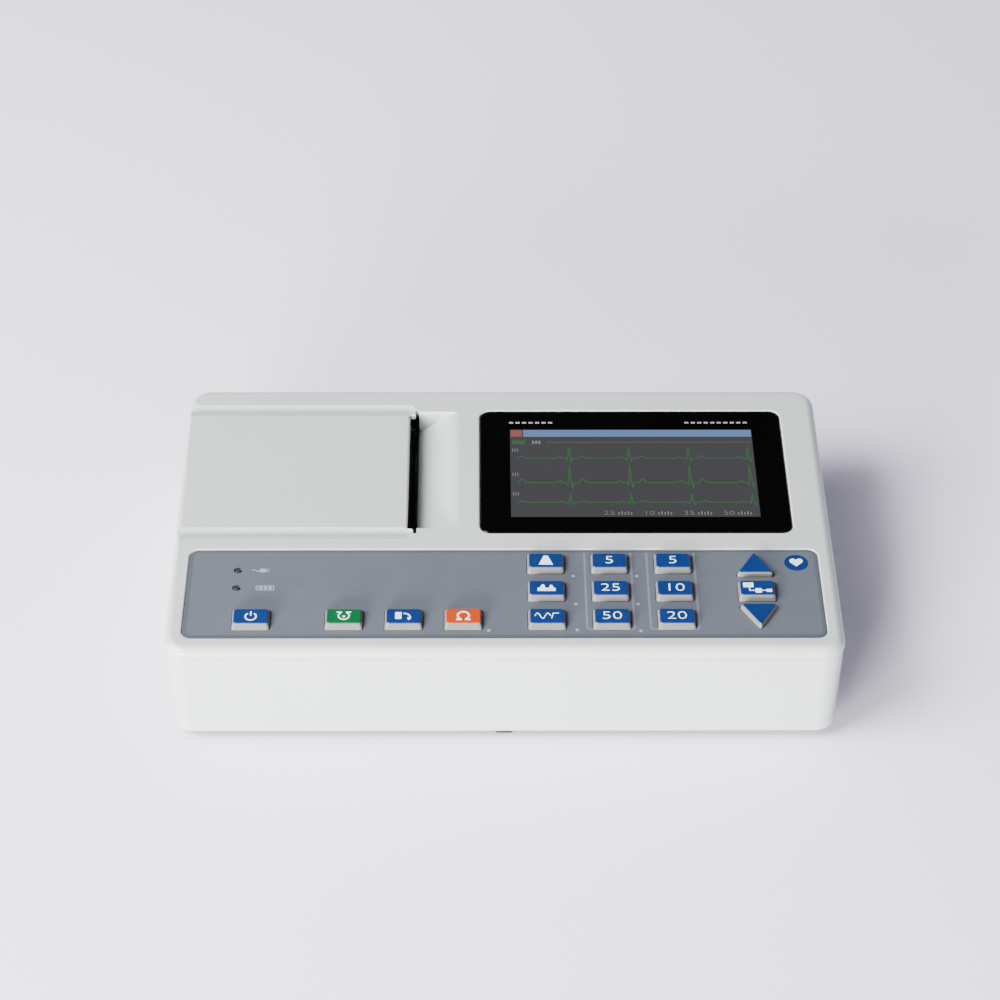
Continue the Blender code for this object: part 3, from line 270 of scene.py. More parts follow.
def chart_paper_material():
    """White paper with a printed grid on its upper face, one line a millimetre and a stronger fifth one."""
    made = surface(
        "chart_paper",
        (0.86, 0.84, 0.80),
        0.85,
        tone=0.02,
        grain_scale=1500,
        grain_depth=0.00002,
        grain_strength=0.25,
    )
    tree = made.node_tree
    shader = tree.nodes["Principled BSDF"]
    paper = shader.inputs["Base Color"].links[0].from_socket
    split = tree.nodes.new("ShaderNodeSeparateXYZ")
    tree.links.new(tree.nodes["coordinates"].outputs["Object"], split.inputs["Vector"])
    normal = tree.nodes.new("ShaderNodeSeparateXYZ")
    facing = tree.nodes.new("ShaderNodeNewGeometry")
    tree.links.new(facing.outputs["Normal"], normal.inputs["Vector"])

    def math_node(operation, first, second):
        node = tree.nodes.new("ShaderNodeMath")
        node.operation = operation
        for socket, value in zip(node.inputs, (first, second)):
            if isinstance(value, bpy.types.NodeSocket):
                tree.links.new(value, socket)
            else:
                socket.default_value = value
        return node.outputs["Value"]

    lines = None
    for pitch, width, weight in ((0.001, 0.14, 0.35), (0.005, 0.06, 0.75)):
        for axis in ("X", "Y"):
            place = math_node("DIVIDE", split.outputs[axis], pitch)
            share = math_node("FRACT", place, 0.0)
            line = math_node("MULTIPLY", math_node("LESS_THAN", share, width), weight)
            lines = line if lines is None else math_node("MAXIMUM", lines, line)
    upward = math_node("GREATER_THAN", normal.outputs["Z"], 0.7)
    factor = math_node("MULTIPLY", lines, upward)
    tree.links.new(mixed(tree, factor, paper, (0.80, 0.32, 0.28)), shader.inputs["Base Color"])
    return made


def lit(name, colour, glow, strength):
    """A patch of the screen's picture: a dark, glossy surface that gives off its own light."""
    made = surface(name, colour, 0.12, tone=0.10, tone_scale=30.0, rough_spread=0.02)
    shader = made.node_tree.nodes["Principled BSDF"]
    shader.inputs["Emission Color"].default_value = (*glow, 1.0)
    shader.inputs["Emission Strength"].default_value = strength
    return made


SPARK = {"grain_scale": 2600, "grain_depth": 0.00004, "grain_strength": 0.35}
SATIN = {"grain_scale": 4000, "grain_depth": 0.00002, "grain_strength": 0.2}

HOUSING = surface(
    "housing_plastic",
    (0.43, 0.47, 0.45),
    0.45,
    tone=0.02,
    Coat_Weight=0.3,
    Coat_Roughness=0.22,
    **SPARK,
)
LABEL = surface("label_film", (0.077, 0.086, 0.105), 0.42, tone=0.02, **SATIN)
# A darker band along the label's edge.
LABEL_EDGE = surface("label_edge_dark_band", (0.058, 0.066, 0.079), 0.42, tone=0.03, **SATIN)
WINDOW = surface("window_black", (0.0008, 0.0008, 0.0009), 0.06, tone=0.2, rough_spread=0.02)
LCD_FRAME = surface("lcd_frame", (0.30, 0.30, 0.31), 0.35, metallic=0.9, **SATIN)
KEY_BODY = surface("key_body", (0.125, 0.122, 0.117), 0.5, tone=0.03, **SATIN)
KEY_BLUE = surface("key_blue", (0.0020, 0.0185, 0.098), 0.36, tone=0.06, **SATIN)
KEY_GREEN = surface("key_green", (0.0020, 0.074, 0.022), 0.36, tone=0.06, **SATIN)
KEY_ORANGE = surface("key_orange", (0.37, 0.036, 0.0001), 0.36, tone=0.03, **SATIN)
INK_WHITE = surface("ink_white", (0.72, 0.84, 0.92), 0.5, tone=0.02, **SATIN)
INK_SOFT = surface("ink_label_light", (0.125, 0.140, 0.168), 0.5, tone=0.03, **SATIN)
INK_GREY = surface("ink_light_grey", (0.24, 0.27, 0.31), 0.5, tone=0.03, **SATIN)
LENS = surface("light_pipe_lens", (0.012, 0.014, 0.016), 0.75, tone=0.1, Specular_IOR_Level=0.25)
BLACK = surface("black_plastic", (0.008, 0.008, 0.009), 0.5, tone=0.15, **SPARK)
TRAY = surface("tray_plastic", (0.030, 0.031, 0.033), 0.5, tone=0.10, **SPARK)
RUBBER = surface("foot_rubber", (0.012, 0.012, 0.013), 0.85, tone=0.2, **SPARK)
ROLLER = stretched(
    surface("roller_rubber", (0.012, 0.012, 0.013), 0.7, tone=0.15),
    (1.0, 0.05, 1.0),
    2500,
    0.00002,
    0.4,
)
STEEL = stretched(
    surface("satin_steel", (0.46, 0.46, 0.47), 0.28, metallic=1.0, tone=0.05),
    (1.0, 1.0, 0.05),
    2200,
    0.00001,
    0.25,
)
PLATED = surface("plated_shell", (0.50, 0.49, 0.47), 0.24, metallic=1.0, tone=0.04, **SATIN)
BRASS = surface("turned_brass", (0.52, 0.35, 0.12), 0.26, metallic=1.0, tone=0.05, **SATIN)
GOLD = surface("contact_gold", (0.68, 0.45, 0.15), 0.25, metallic=1.0, tone=0.04)
NYLON = surface("gear_nylon", (0.52, 0.50, 0.44), 0.42, tone=0.03, Subsurface_Weight=0.1, **SATIN)
BOARD = surface("solder_mask", (0.004, 0.055, 0.018), 0.32, tone=0.25, tone_scale=140.0, **SATIN)
BATTERY = surface("battery_wrap", (0.006, 0.035, 0.10), 0.28, tone=0.08, **SATIN)
CERAMIC = surface("head_ceramic", (0.030, 0.026, 0.022), 0.22, tone=0.10, **SATIN)
PAPER = chart_paper_material()
PICTURE = lit("picture_ground", (0.003, 0.003, 0.003), (0.066, 0.066, 0.073), 1.0)
PICTURE_BAR = lit("picture_bar", (0.004, 0.006, 0.010), (0.150, 0.265, 0.480), 1.0)
PICTURE_RED = lit("picture_red", (0.010, 0.003, 0.003), (0.330, 0.105, 0.108), 1.0)
PICTURE_GREEN = lit("picture_green", (0.003, 0.008, 0.003), (0.046, 0.150, 0.050), 1.0)
PICTURE_GREY = lit("picture_grey", (0.006, 0.006, 0.006), (0.230, 0.232, 0.240), 1.0)
PICTURE_BROWN = lit("picture_brown", (0.005, 0.004, 0.004), (0.105, 0.078, 0.076), 1.0)

# ---- Mesh building --------------------------------------------------------------------------------

ARC = 10
RIM = 5
SMOOTH_ANGLE = math.radians(32)


def rounded(points, radius, segments=ARC):
    """A convex outline, given counter-clockwise, with each corner turned into an arc."""
    outline = []
    for index, point in enumerate(points):
        corner = Vector(point)
        back = (Vector(points[index - 1]) - corner).normalized()
        ahead = (Vector(points[(index + 1) % len(points)]) - corner).normalized()
        half = back.angle(ahead) / 2
        centre = corner + (back + ahead).normalized() * (radius / math.sin(half))
        start = corner + back * (radius / math.tan(half)) - centre
        first = math.atan2(start.y, start.x)
        for step in range(segments + 1):
            angle = first + (math.pi - 2 * half) * step / segments
            outline.append((centre.x + radius * math.cos(angle), centre.y + radius * math.sin(angle)))
    return outline


def rectangle(x, y, inset=0.0):
    return [
        (x[0] + inset, y[0] + inset),
        (x[1] - inset, y[0] + inset),
        (x[1] - inset, y[1] - inset),
        (x[0] + inset, y[1] - inset),
    ]


def circle(centre, radius, segments=48):
    turns = [2 * math.pi * step / segments for step in range(segments)]
    return [(centre[0] + radius * math.cos(a), centre[1] + radius * math.sin(a)) for a in turns]


def triangle(centre, radius, apex_up=True):
    """Corners of an equilateral triangle, counter-clockwise."""
    first = math.pi / 2 if apex_up else -math.pi / 2
    turns = [first + 2 * math.pi * step / 3 for step in range(3)]
    return [(centre[0] + radius * math.cos(a), centre[1] + radius * math.sin(a)) for a in turns]


def skin(bm, rings, closed=False):
    """Faces between a row of rings with as many points each."""
    loops = [[bm.verts.new(point) for point in ring] for ring in rings]
    pairs = list(zip(loops, loops[1:]))
    if closed:
        pairs.append((loops[-1], loops[0]))
    for low, high in pairs:
        for index in range(len(low)):
            after = (index + 1) % len(low)
            bm.faces.new((low[index], low[after], high[after], high[index]))
    return loops


def add_loft(bm, rings, closed=False):
    """Skins a row of rings. Open rows get end caps."""
    loops = skin(bm, rings, closed)
    if not closed:
        bm.faces.new(loops[0])
        bm.faces.new(loops[-1])


def at(axis, u, v, w):
    """A point w along the axis. u and v are the two other coordinates, in X, Y, Z order."""
    return {"X": (w, u, v), "Y": (u, w, v), "Z": (u, v, w)}[axis]


def add_stack(bm, layers, axis="Z", closed=False):
    """A body through outlines that lie across an axis. Each layer is an outline and its place."""
    add_loft(bm, [[at(axis, u, v, place) for u, v in outline] for outline, place in layers], closed)


def quarter_round(radius, steps):
    """How far each point of a quarter round lies inside its two faces, from the side face up."""
    turns = [math.pi / 2 * step / steps for step in range(steps + 1)]
    return [(radius * (1 - math.cos(turn)), radius * (1 - math.sin(turn))) for turn in turns]


def rim_profile(span, start, end, steps=RIM):
    """Inset and place of each ring along a body whose two end rims are quarter rounds."""
    first = quarter_round(start, steps)[::-1] if start else [(0.0, 0.0)]
    last = quarter_round(end, steps) if end else [(0.0, 0.0)]
    profile = [(inset, span[0] + rise) for inset, rise in first]
    return profile + [(inset, span[1] - rise) for inset, rise in last]


def add_slab(bm, x, y, z, corner=0.0, top=0.0, bottom=0.0, foot=0.0, axis="Z", arc=ARC, rim=RIM):
    """A block with rounded corners and rims. foot is how far its start draws in on each side."""
    layers = []
    for inset, place in rim_profile(z, bottom, top, rim):
        inset += foot * (z[1] - place) / (z[1] - z[0])
        outline = rectangle(x, y, inset)
        if corner:
            outline = rounded(outline, max(corner - inset, CLEAR), arc)
        layers.append((outline, place))
    add_stack(bm, layers, axis)


def add_panel(bm, axis, centre, size, span, **shape):
    """A block across an axis: its middle, its two sides and its span along the axis."""
    add_slab(bm, around(centre[0], size[0]), around(centre[1], size[1]), span, axis=axis, **shape)


def add_rod(bm, axis, centre, radius, span, start=0.0, end=0.0, segments=48, rim=3):
    """A round bar with rounded end rims."""
    profile = rim_profile(span, start, end, rim)
    add_stack(bm, [(circle(centre, radius - inset, segments), place) for inset, place in profile], axis)


def add_tube(bm, axis, centre, outer, inner, span, edge, segments=64):
    """A sleeve with chamfered edges."""
    corners = (
        (inner, span[0]),
        (outer - edge, span[0]),
        (outer, span[0] + edge),
        (outer, span[1] - edge),
        (outer - edge, span[1]),
        (inner, span[1]),
    )
    layers = [(circle(centre, radius, segments), place) for radius, place in corners]
    add_stack(bm, layers, axis, closed=True)


def add_stroke(bm, points, width, z, closed=False, height=INK):
    """A flat ribbon of one width along a line, as thick as printed ink."""
    rings = []
    count = len(points)
    for index, point in enumerate(points):
        here = Vector(point)
        before = Vector(points[index - 1]) if index or closed else None
        after = Vector(points[(index + 1) % count]) if index < count - 1 or closed else None
        back = (here - before).normalized() if before else (after - here).normalized()
        ahead = (after - here).normalized() if after else back
        along = (back + ahead).normalized()
        side = Vector((-along.y, along.x)) * (width / 2 / max(0.4, along.dot(back)))
        left, right = here + side, here - side
        rings.append([(*left, z), (*right, z), (*right, z + height), (*left, z + height)])
    add_loft(bm, rings, closed)


def add_area(bm, outline, z, height=INK):
    add_stack(bm, [(outline, z), (outline, z + height)])


def object_from(name, bm):
    bmesh.ops.recalc_face_normals(bm, faces=bm.faces[:])
    mesh = bpy.data.meshes.new(name)
    bm.to_mesh(mesh)
    bm.free()
    made = bpy.data.objects.new(name, mesh)
    bpy.context.scene.collection.objects.link(made)
    return made


def bake(obj):
    """Writes the object's modifiers into its mesh."""
    graph = bpy.context.evaluated_depsgraph_get()
    mesh = bpy.data.meshes.new_from_object(obj.evaluated_get(graph))
    obj.modifiers.clear()
    old = obj.data
    obj.data = mesh
    bpy.data.meshes.remove(old)
    mesh.name = obj.name


def combine(obj, operation, bm, overlapping=False):
    """Joins the bmesh to the object or cuts it out. overlapping: its own shapes run into one another."""
    tool = object_from("tool", bm)
    boolean = obj.modifiers.new("boolean", "BOOLEAN")
    boolean.operation = operation
    boolean.solver = "EXACT"
    boolean.use_self = overlapping
    boolean.object = tool
    bake(obj)
    bpy.data.objects.remove(tool)


def show(obj, material, body, slot, *nodes):
    """Finishes a piece: its material and shading, the body that it rides on and the nodes it stands for."""
    obj.data.materials.clear()
    obj.data.materials.append(material)
    if obj.type == "MESH":
        obj.data.shade_smooth()
        obj.data.set_sharp_from_angle(angle=SMOOTH_ANGLE)
        weighted = obj.modifiers.new("weighted_normals", "WEIGHTED_NORMAL")
        weighted.keep_sharp = True
    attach(obj, body)
    if nodes:
        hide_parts(*nodes)


def text_mesh(name, words, place, size, z):
    """Numerals as a thin mesh, centred on a place."""
    curve = bpy.data.curves.new(name, "FONT")
    curve.body = words
    curve.size = size
    curve.align_x = "CENTER"
    curve.align_y = "CENTER"
    curve.extrude = INK / 2
    curve.offset = size * NUMERAL_WEIGHT
    curve.resolution_u = 4
    drawn = bpy.data.objects.new(name, curve)
    bpy.context.scene.collection.objects.link(drawn)
    graph = bpy.context.evaluated_depsgraph_get()
    mesh = bpy.data.meshes.new_from_object(drawn.evaluated_get(graph))
    bpy.data.objects.remove(drawn)
    widen = Matrix.Diagonal((NUMERAL_WIDTH, 1.0, 1.0, 1.0))
    mesh.transform(Matrix.Translation((*place, z + INK / 2)) @ widen)
    made = bpy.data.objects.new(name, mesh)
    bpy.context.scene.collection.objects.link(made)
    return made


# ---- Housing --------------------------------------------------------------------------------------


def add_pocket(bm, x, y, floor, corner, lip, steps=6):
    """A cutter for a pocket in the top that leaves a rounded lip round the pocket's mouth."""

    def layer(reach, z):
        return (rounded(rectangle(x, y, -reach), corner + reach), z)

    layers = [layer(0.0, floor)]
    for reach, drop in quarter_round(lip, steps):
        layers.append(layer(reach, TOP_Z - drop + CLEAR))
    layers.append(layer(lip, TOP_Z + ABOVE))
    add_stack(bm, layers)


def cut_grooves(obj):
    """Cuts the hollows along the cover's edges, with two wide round bars that rise at their right end."""
    radius = (GROOVE_HALF_WIDTH**2 + GROOVE_DEPTH**2) / (2 * GROOVE_DEPTH)
    right = RAMP_X[0] - 0.0008
    stations = [(LEFT_OUTSIDE, 0.0), (right - GROOVE_RUN_OUT, 0.0)]
    for step in range(1, 9):
        rise = 1 - math.cos(math.pi / 2 * step / 8)
        stations.append((right - GROOVE_RUN_OUT * (1 - step / 8), GROOVE_DEPTH * 1.3 * rise))
    bars = bmesh.new()
    for y in COVER_Y:
        centre = (y, TOP_Z - GROOVE_DEPTH + radius)
        add_stack(bars, [(circle(centre, radius - rise, 220), place) for place, rise in stations], "X")
    combine(obj, "DIFFERENCE", bars)


def ramp_depth(x):
    """How deep the ramp lies under the top at X: straight at first, then rounding out into the top."""
    slope = RAMP_DEPTH / (RAMP_X[1] - RAMP_X[0])
    left = RAMP_X[1] - x
    if left >= RAMP_BLEND:
        return slope * left
    reach = 2 * RAMP_BLEND
    return slope * max(0.0, left + RAMP_BLEND) ** 2 / (2 * reach)


def add_ramp_cut(bm):
    """The sunk ramp right of the paper slot, with rounded mouths along its two side walls."""
    start, end = RAMP_X[0] - 0.001, RAMP_X[1] + RAMP_BLEND - CLEAR
    count = 28
    rings = []
    for step in range(count + 1):
        x = start + (end - start) * step / count
        depth = max(ramp_depth(x), CLEAR)
        lip = min(RAMP_LIP, depth * 0.8)
        side = [(0.0, TOP_Z - depth)]
        side += [(reach, TOP_Z - drop + CLEAR) for reach, drop in quarter_round(lip, 5)]
        side.append((lip, TOP_Z + ABOVE))
        near = [(x, RAMP_Y[0] - reach, z) for reach, z in side]
        far = [(x, RAMP_Y[1] + reach, z) for reach, z in side]
        rings.append(near + far[::-1])
    add_loft(bm, rings)


def key_outline(node, margin):
    """The node's shaft at the label, grown by a margin."""
    x, y, _ = spans(node)
    outline = rectangle(x, y, KEY_FLANGE_MARGIN - margin)
    return rounded(outline, 0.0012 + margin, 6)


def arrow_centre(node):
    """The middle of a triangular key, from its apex or base side."""
    x, y, _ = spans(node)
    flange_radius = ARROW_RADIUS[0] + 2 * KEY_FLANGE_MARGIN
    centre_y = y[1] - flange_radius if node == "key_up" else y[0] + flange_radius
    return (middle(x), centre_y)


def arrow_outline(node, radius, corner=ARROW_CORNER[0]):
    return rounded(triangle(arrow_centre(node), radius, node == "key_up"), corner, 6)


def add_keypad_holes(bm, z, margin):
    for node in KEY_NODES:
        outline = key_outline(node, margin)
        add_stack(bm, [(outline, z[0]), (outline, z[1])])
    for node in ARROW_NODES:
        outline = arrow_outline(node, ARROW_RADIUS[0] + 2 * margin)
        add_stack(bm, [(outline, z[0]), (outline, z[1])])
    for node in ("battery_light_pipe", "mains_light_pipe"):
        x, y, _ = spans(node)
        add_rod(bm, "Z", (middle(x), middle(y)), (x[1] - x[0]) / 2 + margin, z, segments=32)


def make_upper_shell():
    bottom = SEAM_Z + SEAM_HALF_GAP
    bm = bmesh.new()
    rims = {"top": TOP_EDGE_RADIUS, "bottom": SEAM_EDGE_RADIUS, "arc": 18, "rim": 9}
    add_slab(bm, HOUSING_X, HOUSING_Y, (bottom, TOP_Z), corner=CORNER_RADIUS, **rims)
    shell = object_from("top_shell", bm)

    hollow = bmesh.new()
    inner_x, inner_y = grown(HOUSING_X, -WALL), grown(HOUSING_Y, -WALL)
    add_slab(hollow, inner_x, inner_y, (SEAM_Z - WALL, PLATE_UNDERSIDE), corner=CORNER_RADIUS - WALL)
    combine(shell, "DIFFERENCE", hollow)

    ramp_body = bmesh.new()
    left, right = RAMP_X[0], RAMP_X[1] + RAMP_WALL
    low = TOP_Z - RAMP_DEPTH - RAMP_WALL
    profile = [(left, low), (right, PLATE_UNDERSIDE + 0.0002), (right, TOP_Z - 0.001), (left, TOP_Z - 0.001)]
    add_stack(ramp_body, [(profile, y) for y in grown(RAMP_Y, RAMP_WALL)], "Y")
    for place in SCREW_POSTS:
        add_rod(ramp_body, "Z", place, 0.0032, (0.0465, PLATE_UNDERSIDE + 0.001), segments=32)
    combine(shell, "UNION", ramp_body)

    openings = bmesh.new()
    add_slab(openings, (LEFT_OUTSIDE, RAMP_X[0]), grown(COVER_Y, NODE_GAP), (0.0478, TOP_Z + ABOVE))
    pocket_x, pocket_y = grown(WINDOW_X, NODE_GAP), grown(WINDOW_Y, NODE_GAP)
    add_pocket(openings, pocket_x, pocket_y, WINDOW_Z[0] - NODE_GAP, WINDOW_RADIUS, WINDOW_LIP)
    pocket_x, pocket_y = grown(LABEL_X, NODE_GAP), grown(LABEL_Y, NODE_GAP)
    add_pocket(openings, pocket_x, pocket_y, LABEL_Z[0] - NODE_GAP, LABEL_RADIUS, LABEL_LIP)
    combine(shell, "DIFFERENCE", openings)

    cuts = bmesh.new()
    add_ramp_cut(cuts)
    through = (PLATE_UNDERSIDE - 0.001, LABEL_Z[0])
    add_slab(cuts, grown(WINDOW_X, -0.0043), grown(WINDOW_Y, -0.0043), (through[0], WINDOW_Z[0]))
    add_keypad_holes(cuts, through, KEY_CLEARANCE)
    add_slab(cuts, (LEFT_OUTSIDE, -0.1415), grown(COVER_RAIL_Y, NODE_GAP), (SEAM_Z - 0.001, PLATE_UNDERSIDE))
    combine(shell, "DIFFERENCE", cuts)

    cut_grooves(shell)
    show(shell, HOUSING, "recorder", "housing", "upper_housing")


def make_lower_shell():
    bm = bmesh.new()
    rims = {"top": SEAM_EDGE_RADIUS, "bottom": BOTTOM_EDGE_RADIUS, "arc": 18, "rim": 7}
    outer_x, outer_y = grown(HOUSING_X, -SEAM_STEP), grown(HOUSING_Y, -SEAM_STEP)
    outer_z = (BASE_Z, SEAM_Z - SEAM_HALF_GAP)
    add_slab(bm, outer_x, outer_y, outer_z, corner=CORNER_RADIUS, foot=DRAFT, **rims)
    shell = object_from("bottom_shell", bm)
    hollow = bmesh.new()
    inner_x, inner_y = grown(HOUSING_X, -WALL), grown(HOUSING_Y, -WALL)
    add_slab(hollow, inner_x, inner_y, (FLOOR_TOP, SEAM_Z + 0.003), corner=CORNER_RADIUS - WALL, foot=DRAFT)
    combine(shell, "DIFFERENCE", hollow)

    inlet = centre_across("mains_inlet", "Y")
    earth = centre_across("earth_stud", "Y")
    patient = centre_across("patient_connector", "X")
    usb = centre_across("usb_port", "X")

    pads = bmesh.new()
    for place in SCREW_POSTS:
        add_rod(pads, "Z", place, 0.0034, (FLOOR_TOP - 0.001, 0.0462), segments=32)
    add_panel(pads, "Y", inlet, (0.038, 0.028), (0.0815, 0.0885))
    add_panel(pads, "Y", earth, (0.020, 0.020), (0.0815, 0.0885))
    add_panel(pads, "X", patient, (0.050, 0.020), (0.1335, 0.1435))
    add_slab(pads, (0.083, 0.098), around(DOOR_Y, 0.016), (FLOOR_TOP - 0.001, 0.012))
    combine(shell, "UNION", pads)

    cuts = bmesh.new()
    for place in SCREW_POSTS:
        add_rod(cuts, "Z", place, 0.0018, (0.0085, 0.048), segments=24)
        add_rod(cuts, "Z", place, 0.0028, (0.003, 0.0088), segments=40)
    add_panel(cuts, "Y", inlet, (0.0328, 0.0238), (0.0862, 0.092), corner=0.0015)
    add_panel(cuts, "Y", inlet, (0.0282, 0.0208), (0.080, 0.0864))
    add_rod(cuts, "Y", earth, 0.0075, (0.0835, 0.092))
    add_rod(cuts, "Y", earth, 0.0033, (0.080, 0.0837))
    add_panel(cuts, "X", patient, (0.0405, 0.0138), (0.1375, 0.147), corner=0.0015)
    add_panel(cuts, "X", patient, (0.026, 0.0112), (0.131, 0.1377))
    add_panel(cuts, "X", usb, (0.0152, 0.0078), (0.139, 0.147), corner=0.0006)
    add_slab(cuts, (0.001, 0.084), (-0.082, -0.004), (0.003, 0.0075), corner=0.0015)
    add_slab(cuts, (0.083, 0.096), around(DOOR_Y, 0.012), (0.003, 0.0062))
    add_rod(cuts, "Z", (DOOR_SCREW_X, DOOR_Y), 0.0014, (0.006, 0.0113), segments=24)
    combine(shell, "DIFFERENCE", cuts, overlapping=True)
    show(shell, HOUSING, "recorder", "housing", "lower_housing")


def make_painted_slot_shade():
    """A black strip low on the slot's right wall: painted shade that keeps the deep slot dark. Its shape is
    a guess.
    """
    x = (RAMP_X[0] - 0.0006, RAMP_X[0] - CLEAR)
    z = (TOP_Z - RAMP_DEPTH - RAMP_WALL + 0.0002, TOP_Z - RAMP_DEPTH - 0.0001)
    bm = bmesh.new()
    add_slab(bm, x, grown(RAMP_Y, RAMP_WALL - 0.0003), z, corner=0.0002, top=0.0001, arc=3, rim=2)
    show(object_from("slot_painted_shade", bm), BLACK, "recorder", "black_plastic")


def make_cover():
    thickness = (TOP_Z - COVER_THICKNESS, TOP_Z)
    profile = [(COVER_X[0], thickness[0]), (COVER_X[1], thickness[0])]
    profile += [(COVER_X[1] - inset, TOP_Z - drop) for inset, drop in quarter_round(COVER_LIP, 7)]
    left_rim = quarter_round(COVER_LEFT_RADIUS, 7)[::-1]
    profile += [(COVER_X[0] + inset, TOP_Z - drop) for inset, drop in left_rim]
    bm = bmesh.new()
    add_stack(bm, [(profile, y) for y in COVER_Y], "Y")
    cover = object_from("sliding_cover", bm)

    web = 0.003
    arm_x = (-0.052, COVER_X[1] - NODE_GAP)
    arm_foot = spans("paper_cover")[2][0]
    arms = [spans("platen_bush_front")[1], spans("platen_bush_rear")[1]]
    under = bmesh.new()
    add_slab(under, (COVER_X[0], COVER_X[0] + WALL), COVER_Y, (RAIL_Z[0], TOP_Z - 0.0027))
    for outer, inward in ((COVER_Y[0], 1), (COVER_Y[1], -1)):
        rail = sorted((outer - inward * RAIL_REACH, outer + inward * web))
        add_slab(under, COVER_X, rail, RAIL_Z)
        rib = sorted((outer, outer + inward * web))
        add_slab(under, grown(COVER_X, -0.001), rib, (RAIL_Z[0] + 0.001, TOP_Z - 0.002))
    for arm in arms:
        add_slab(under, arm_x, arm, (arm_foot, TOP_Z - 0.002))
    combine(cover, "UNION", under, overlapping=True)

    ears = bmesh.new()
    ear_x = (COVER_X[1] - 0.002, EAR_RIGHT)
    ear_z = (TOP_Z - 0.0026, TOP_Z - CLEAR)
    for ends in zip(COVER_Y, SLOT_Y):
        add_slab(ears, ear_x, sorted(ends), ear_z, corner=0.0009, top=0.0006)
    combine(cover, "UNION", ears)

    bores = bmesh.new()
    bush_x, _, bush_z = spans("platen_bush_front")
    for arm in arms:
        add_rod(bores, "Y", (middle(bush_x), middle(bush_z)), 0.0038, grown(arm, 0.001), segments=40)
    combine(cover, "DIFFERENCE", bores)
    cut_grooves(cover)
    show(cover, HOUSING, "cover", "housing", "paper_cover")


# ---- Display --------------------------------------------------------------------------------------


def beat(phase):
    """Height of one heart beat at a phase from 0 to 1, with its main peak of 1 at a half."""
    waves = (
        (0.13, 0.34, 0.030),
        (-0.14, 0.462, 0.010),
        (1.05, 0.50, 0.014),
        (-0.32, 0.542, 0.012),
        (0.22, 0.71, 0.045),
    )
    return sum(height * math.exp(-(((phase - centre) / width) ** 2)) for height, centre, width in waves)


def trace_points(baseline, gain, peak_x, period):
    """The line of one lead across the picture."""
    left, right = PICTURE_X[0] + 0.003, PICTURE_X[1] - 0.0006
    count = 420
    points = []
    for step in range(count + 1):
        x = left + (right - left) * step / count
        phase = ((x - peak_x) / period + 0.5) % 1.0
        points.append((x, baseline + gain * beat(phase)))
    return points


def make_picture():
    """The screen behind the pane's clear area, with its bars, traces and readings as lit shapes."""
    pane_top = WINDOW_Z[1]
    ground_top = pane_top - 0.00012
    ground = bmesh.new()
    x, y = grown(PICTURE_X, -0.00004), grown(PICTURE_Y, -0.00004)
    add_slab(ground, x, y, (WINDOW_Z[0] + 0.0001, ground_top), corner=0.0003, arc=3)
    show(object_from("screen_ground", ground), PICTURE, "recorder", "screen")

    width, depth = PICTURE_X[1] - PICTURE_X[0], PICTURE_Y[1] - PICTURE_Y[0]

    def patch(bm, left, right, low, high):
        """A patch given in shares of the picture's width, and of its depth from the near edge."""
        x = (PICTURE_X[0] + width * left, PICTURE_X[0] + width * right)
        y = (PICTURE_Y[0] + depth * low, PICTURE_Y[0] + depth * high)
        add_area(bm, rectangle(x, y), ground_top, 0.00004)

    bar = bmesh.new()
    patch(bar, 0.055, 0.998, 0.915, 0.995)
    show(object_from("screen_title_bar", bar), PICTURE_BAR, "recorder", "screen")
    alarm = bmesh.new()
    patch(alarm, 0.003, 0.050, 0.915, 0.995)
    show(object_from("screen_alarm_block", alarm), PICTURE_RED, "recorder", "screen")
    rule = bmesh.new()
    patch(rule, 0.15, 0.998, 0.838, 0.862)
    show(object_from("screen_rule", rule), PICTURE_BROWN, "recorder", "screen")

    green = bmesh.new()
    patch(green, 0.010, 0.062, 0.828, 0.872)
    baselines = ((0.665, 0.0080), (0.385, 0.0125), (0.165, 0.0055))
    for share, gain in baselines:
        points = trace_points(PICTURE_Y[0] + depth * share, gain, 0.0302, 0.0272)
        add_stroke(green, points, 0.00048, ground_top, height=0.00005)
    show(object_from("screen_traces", green), PICTURE_GREEN, "recorder", "screen")

    grey = bmesh.new()
    for left in (0.091, 0.104, 0.117):
        patch(grey, left, left + 0.009, 0.832, 0.868)
    for share, _ in baselines:
        for mark in range(3):
            x = PICTURE_X[0] + 0.0012 + 0.0011 * mark
            y = PICTURE_Y[0] + depth * (share + 0.075)
            add_stroke(grey, [(x, y), (x, y + 0.0024)], 0.0004, ground_top)
    show(object_from("screen_lead_marks", grey), PICTURE_GREY, "recorder", "screen")
    readings = (("25", 0.395), ("10", 0.555), ("35", 0.715), ("50", 0.875))
    for index, (words, share) in enumerate(readings, 1):
        place = (PICTURE_X[0] + width * share, PICTURE_Y[0] + depth * 0.045)
        reading = text_mesh(f"screen_reading_{index}", words, place, 0.0040, ground_top)
        show(reading, PICTURE_GREY, "recorder", "screen")
        ticks = bmesh.new()
        for tick in range(5):
            x = place[0] + 0.0042 + 0.0014 * tick
            low, high = place[1] - 0.0011, place[1] + (0.0012 if tick % 2 else 0.0005)
            add_stroke(ticks, [(x, low), (x, high)], 0.0006, ground_top)
        show(object_from(f"screen_units_{index}", ticks), PICTURE_GREY, "recorder", "screen")


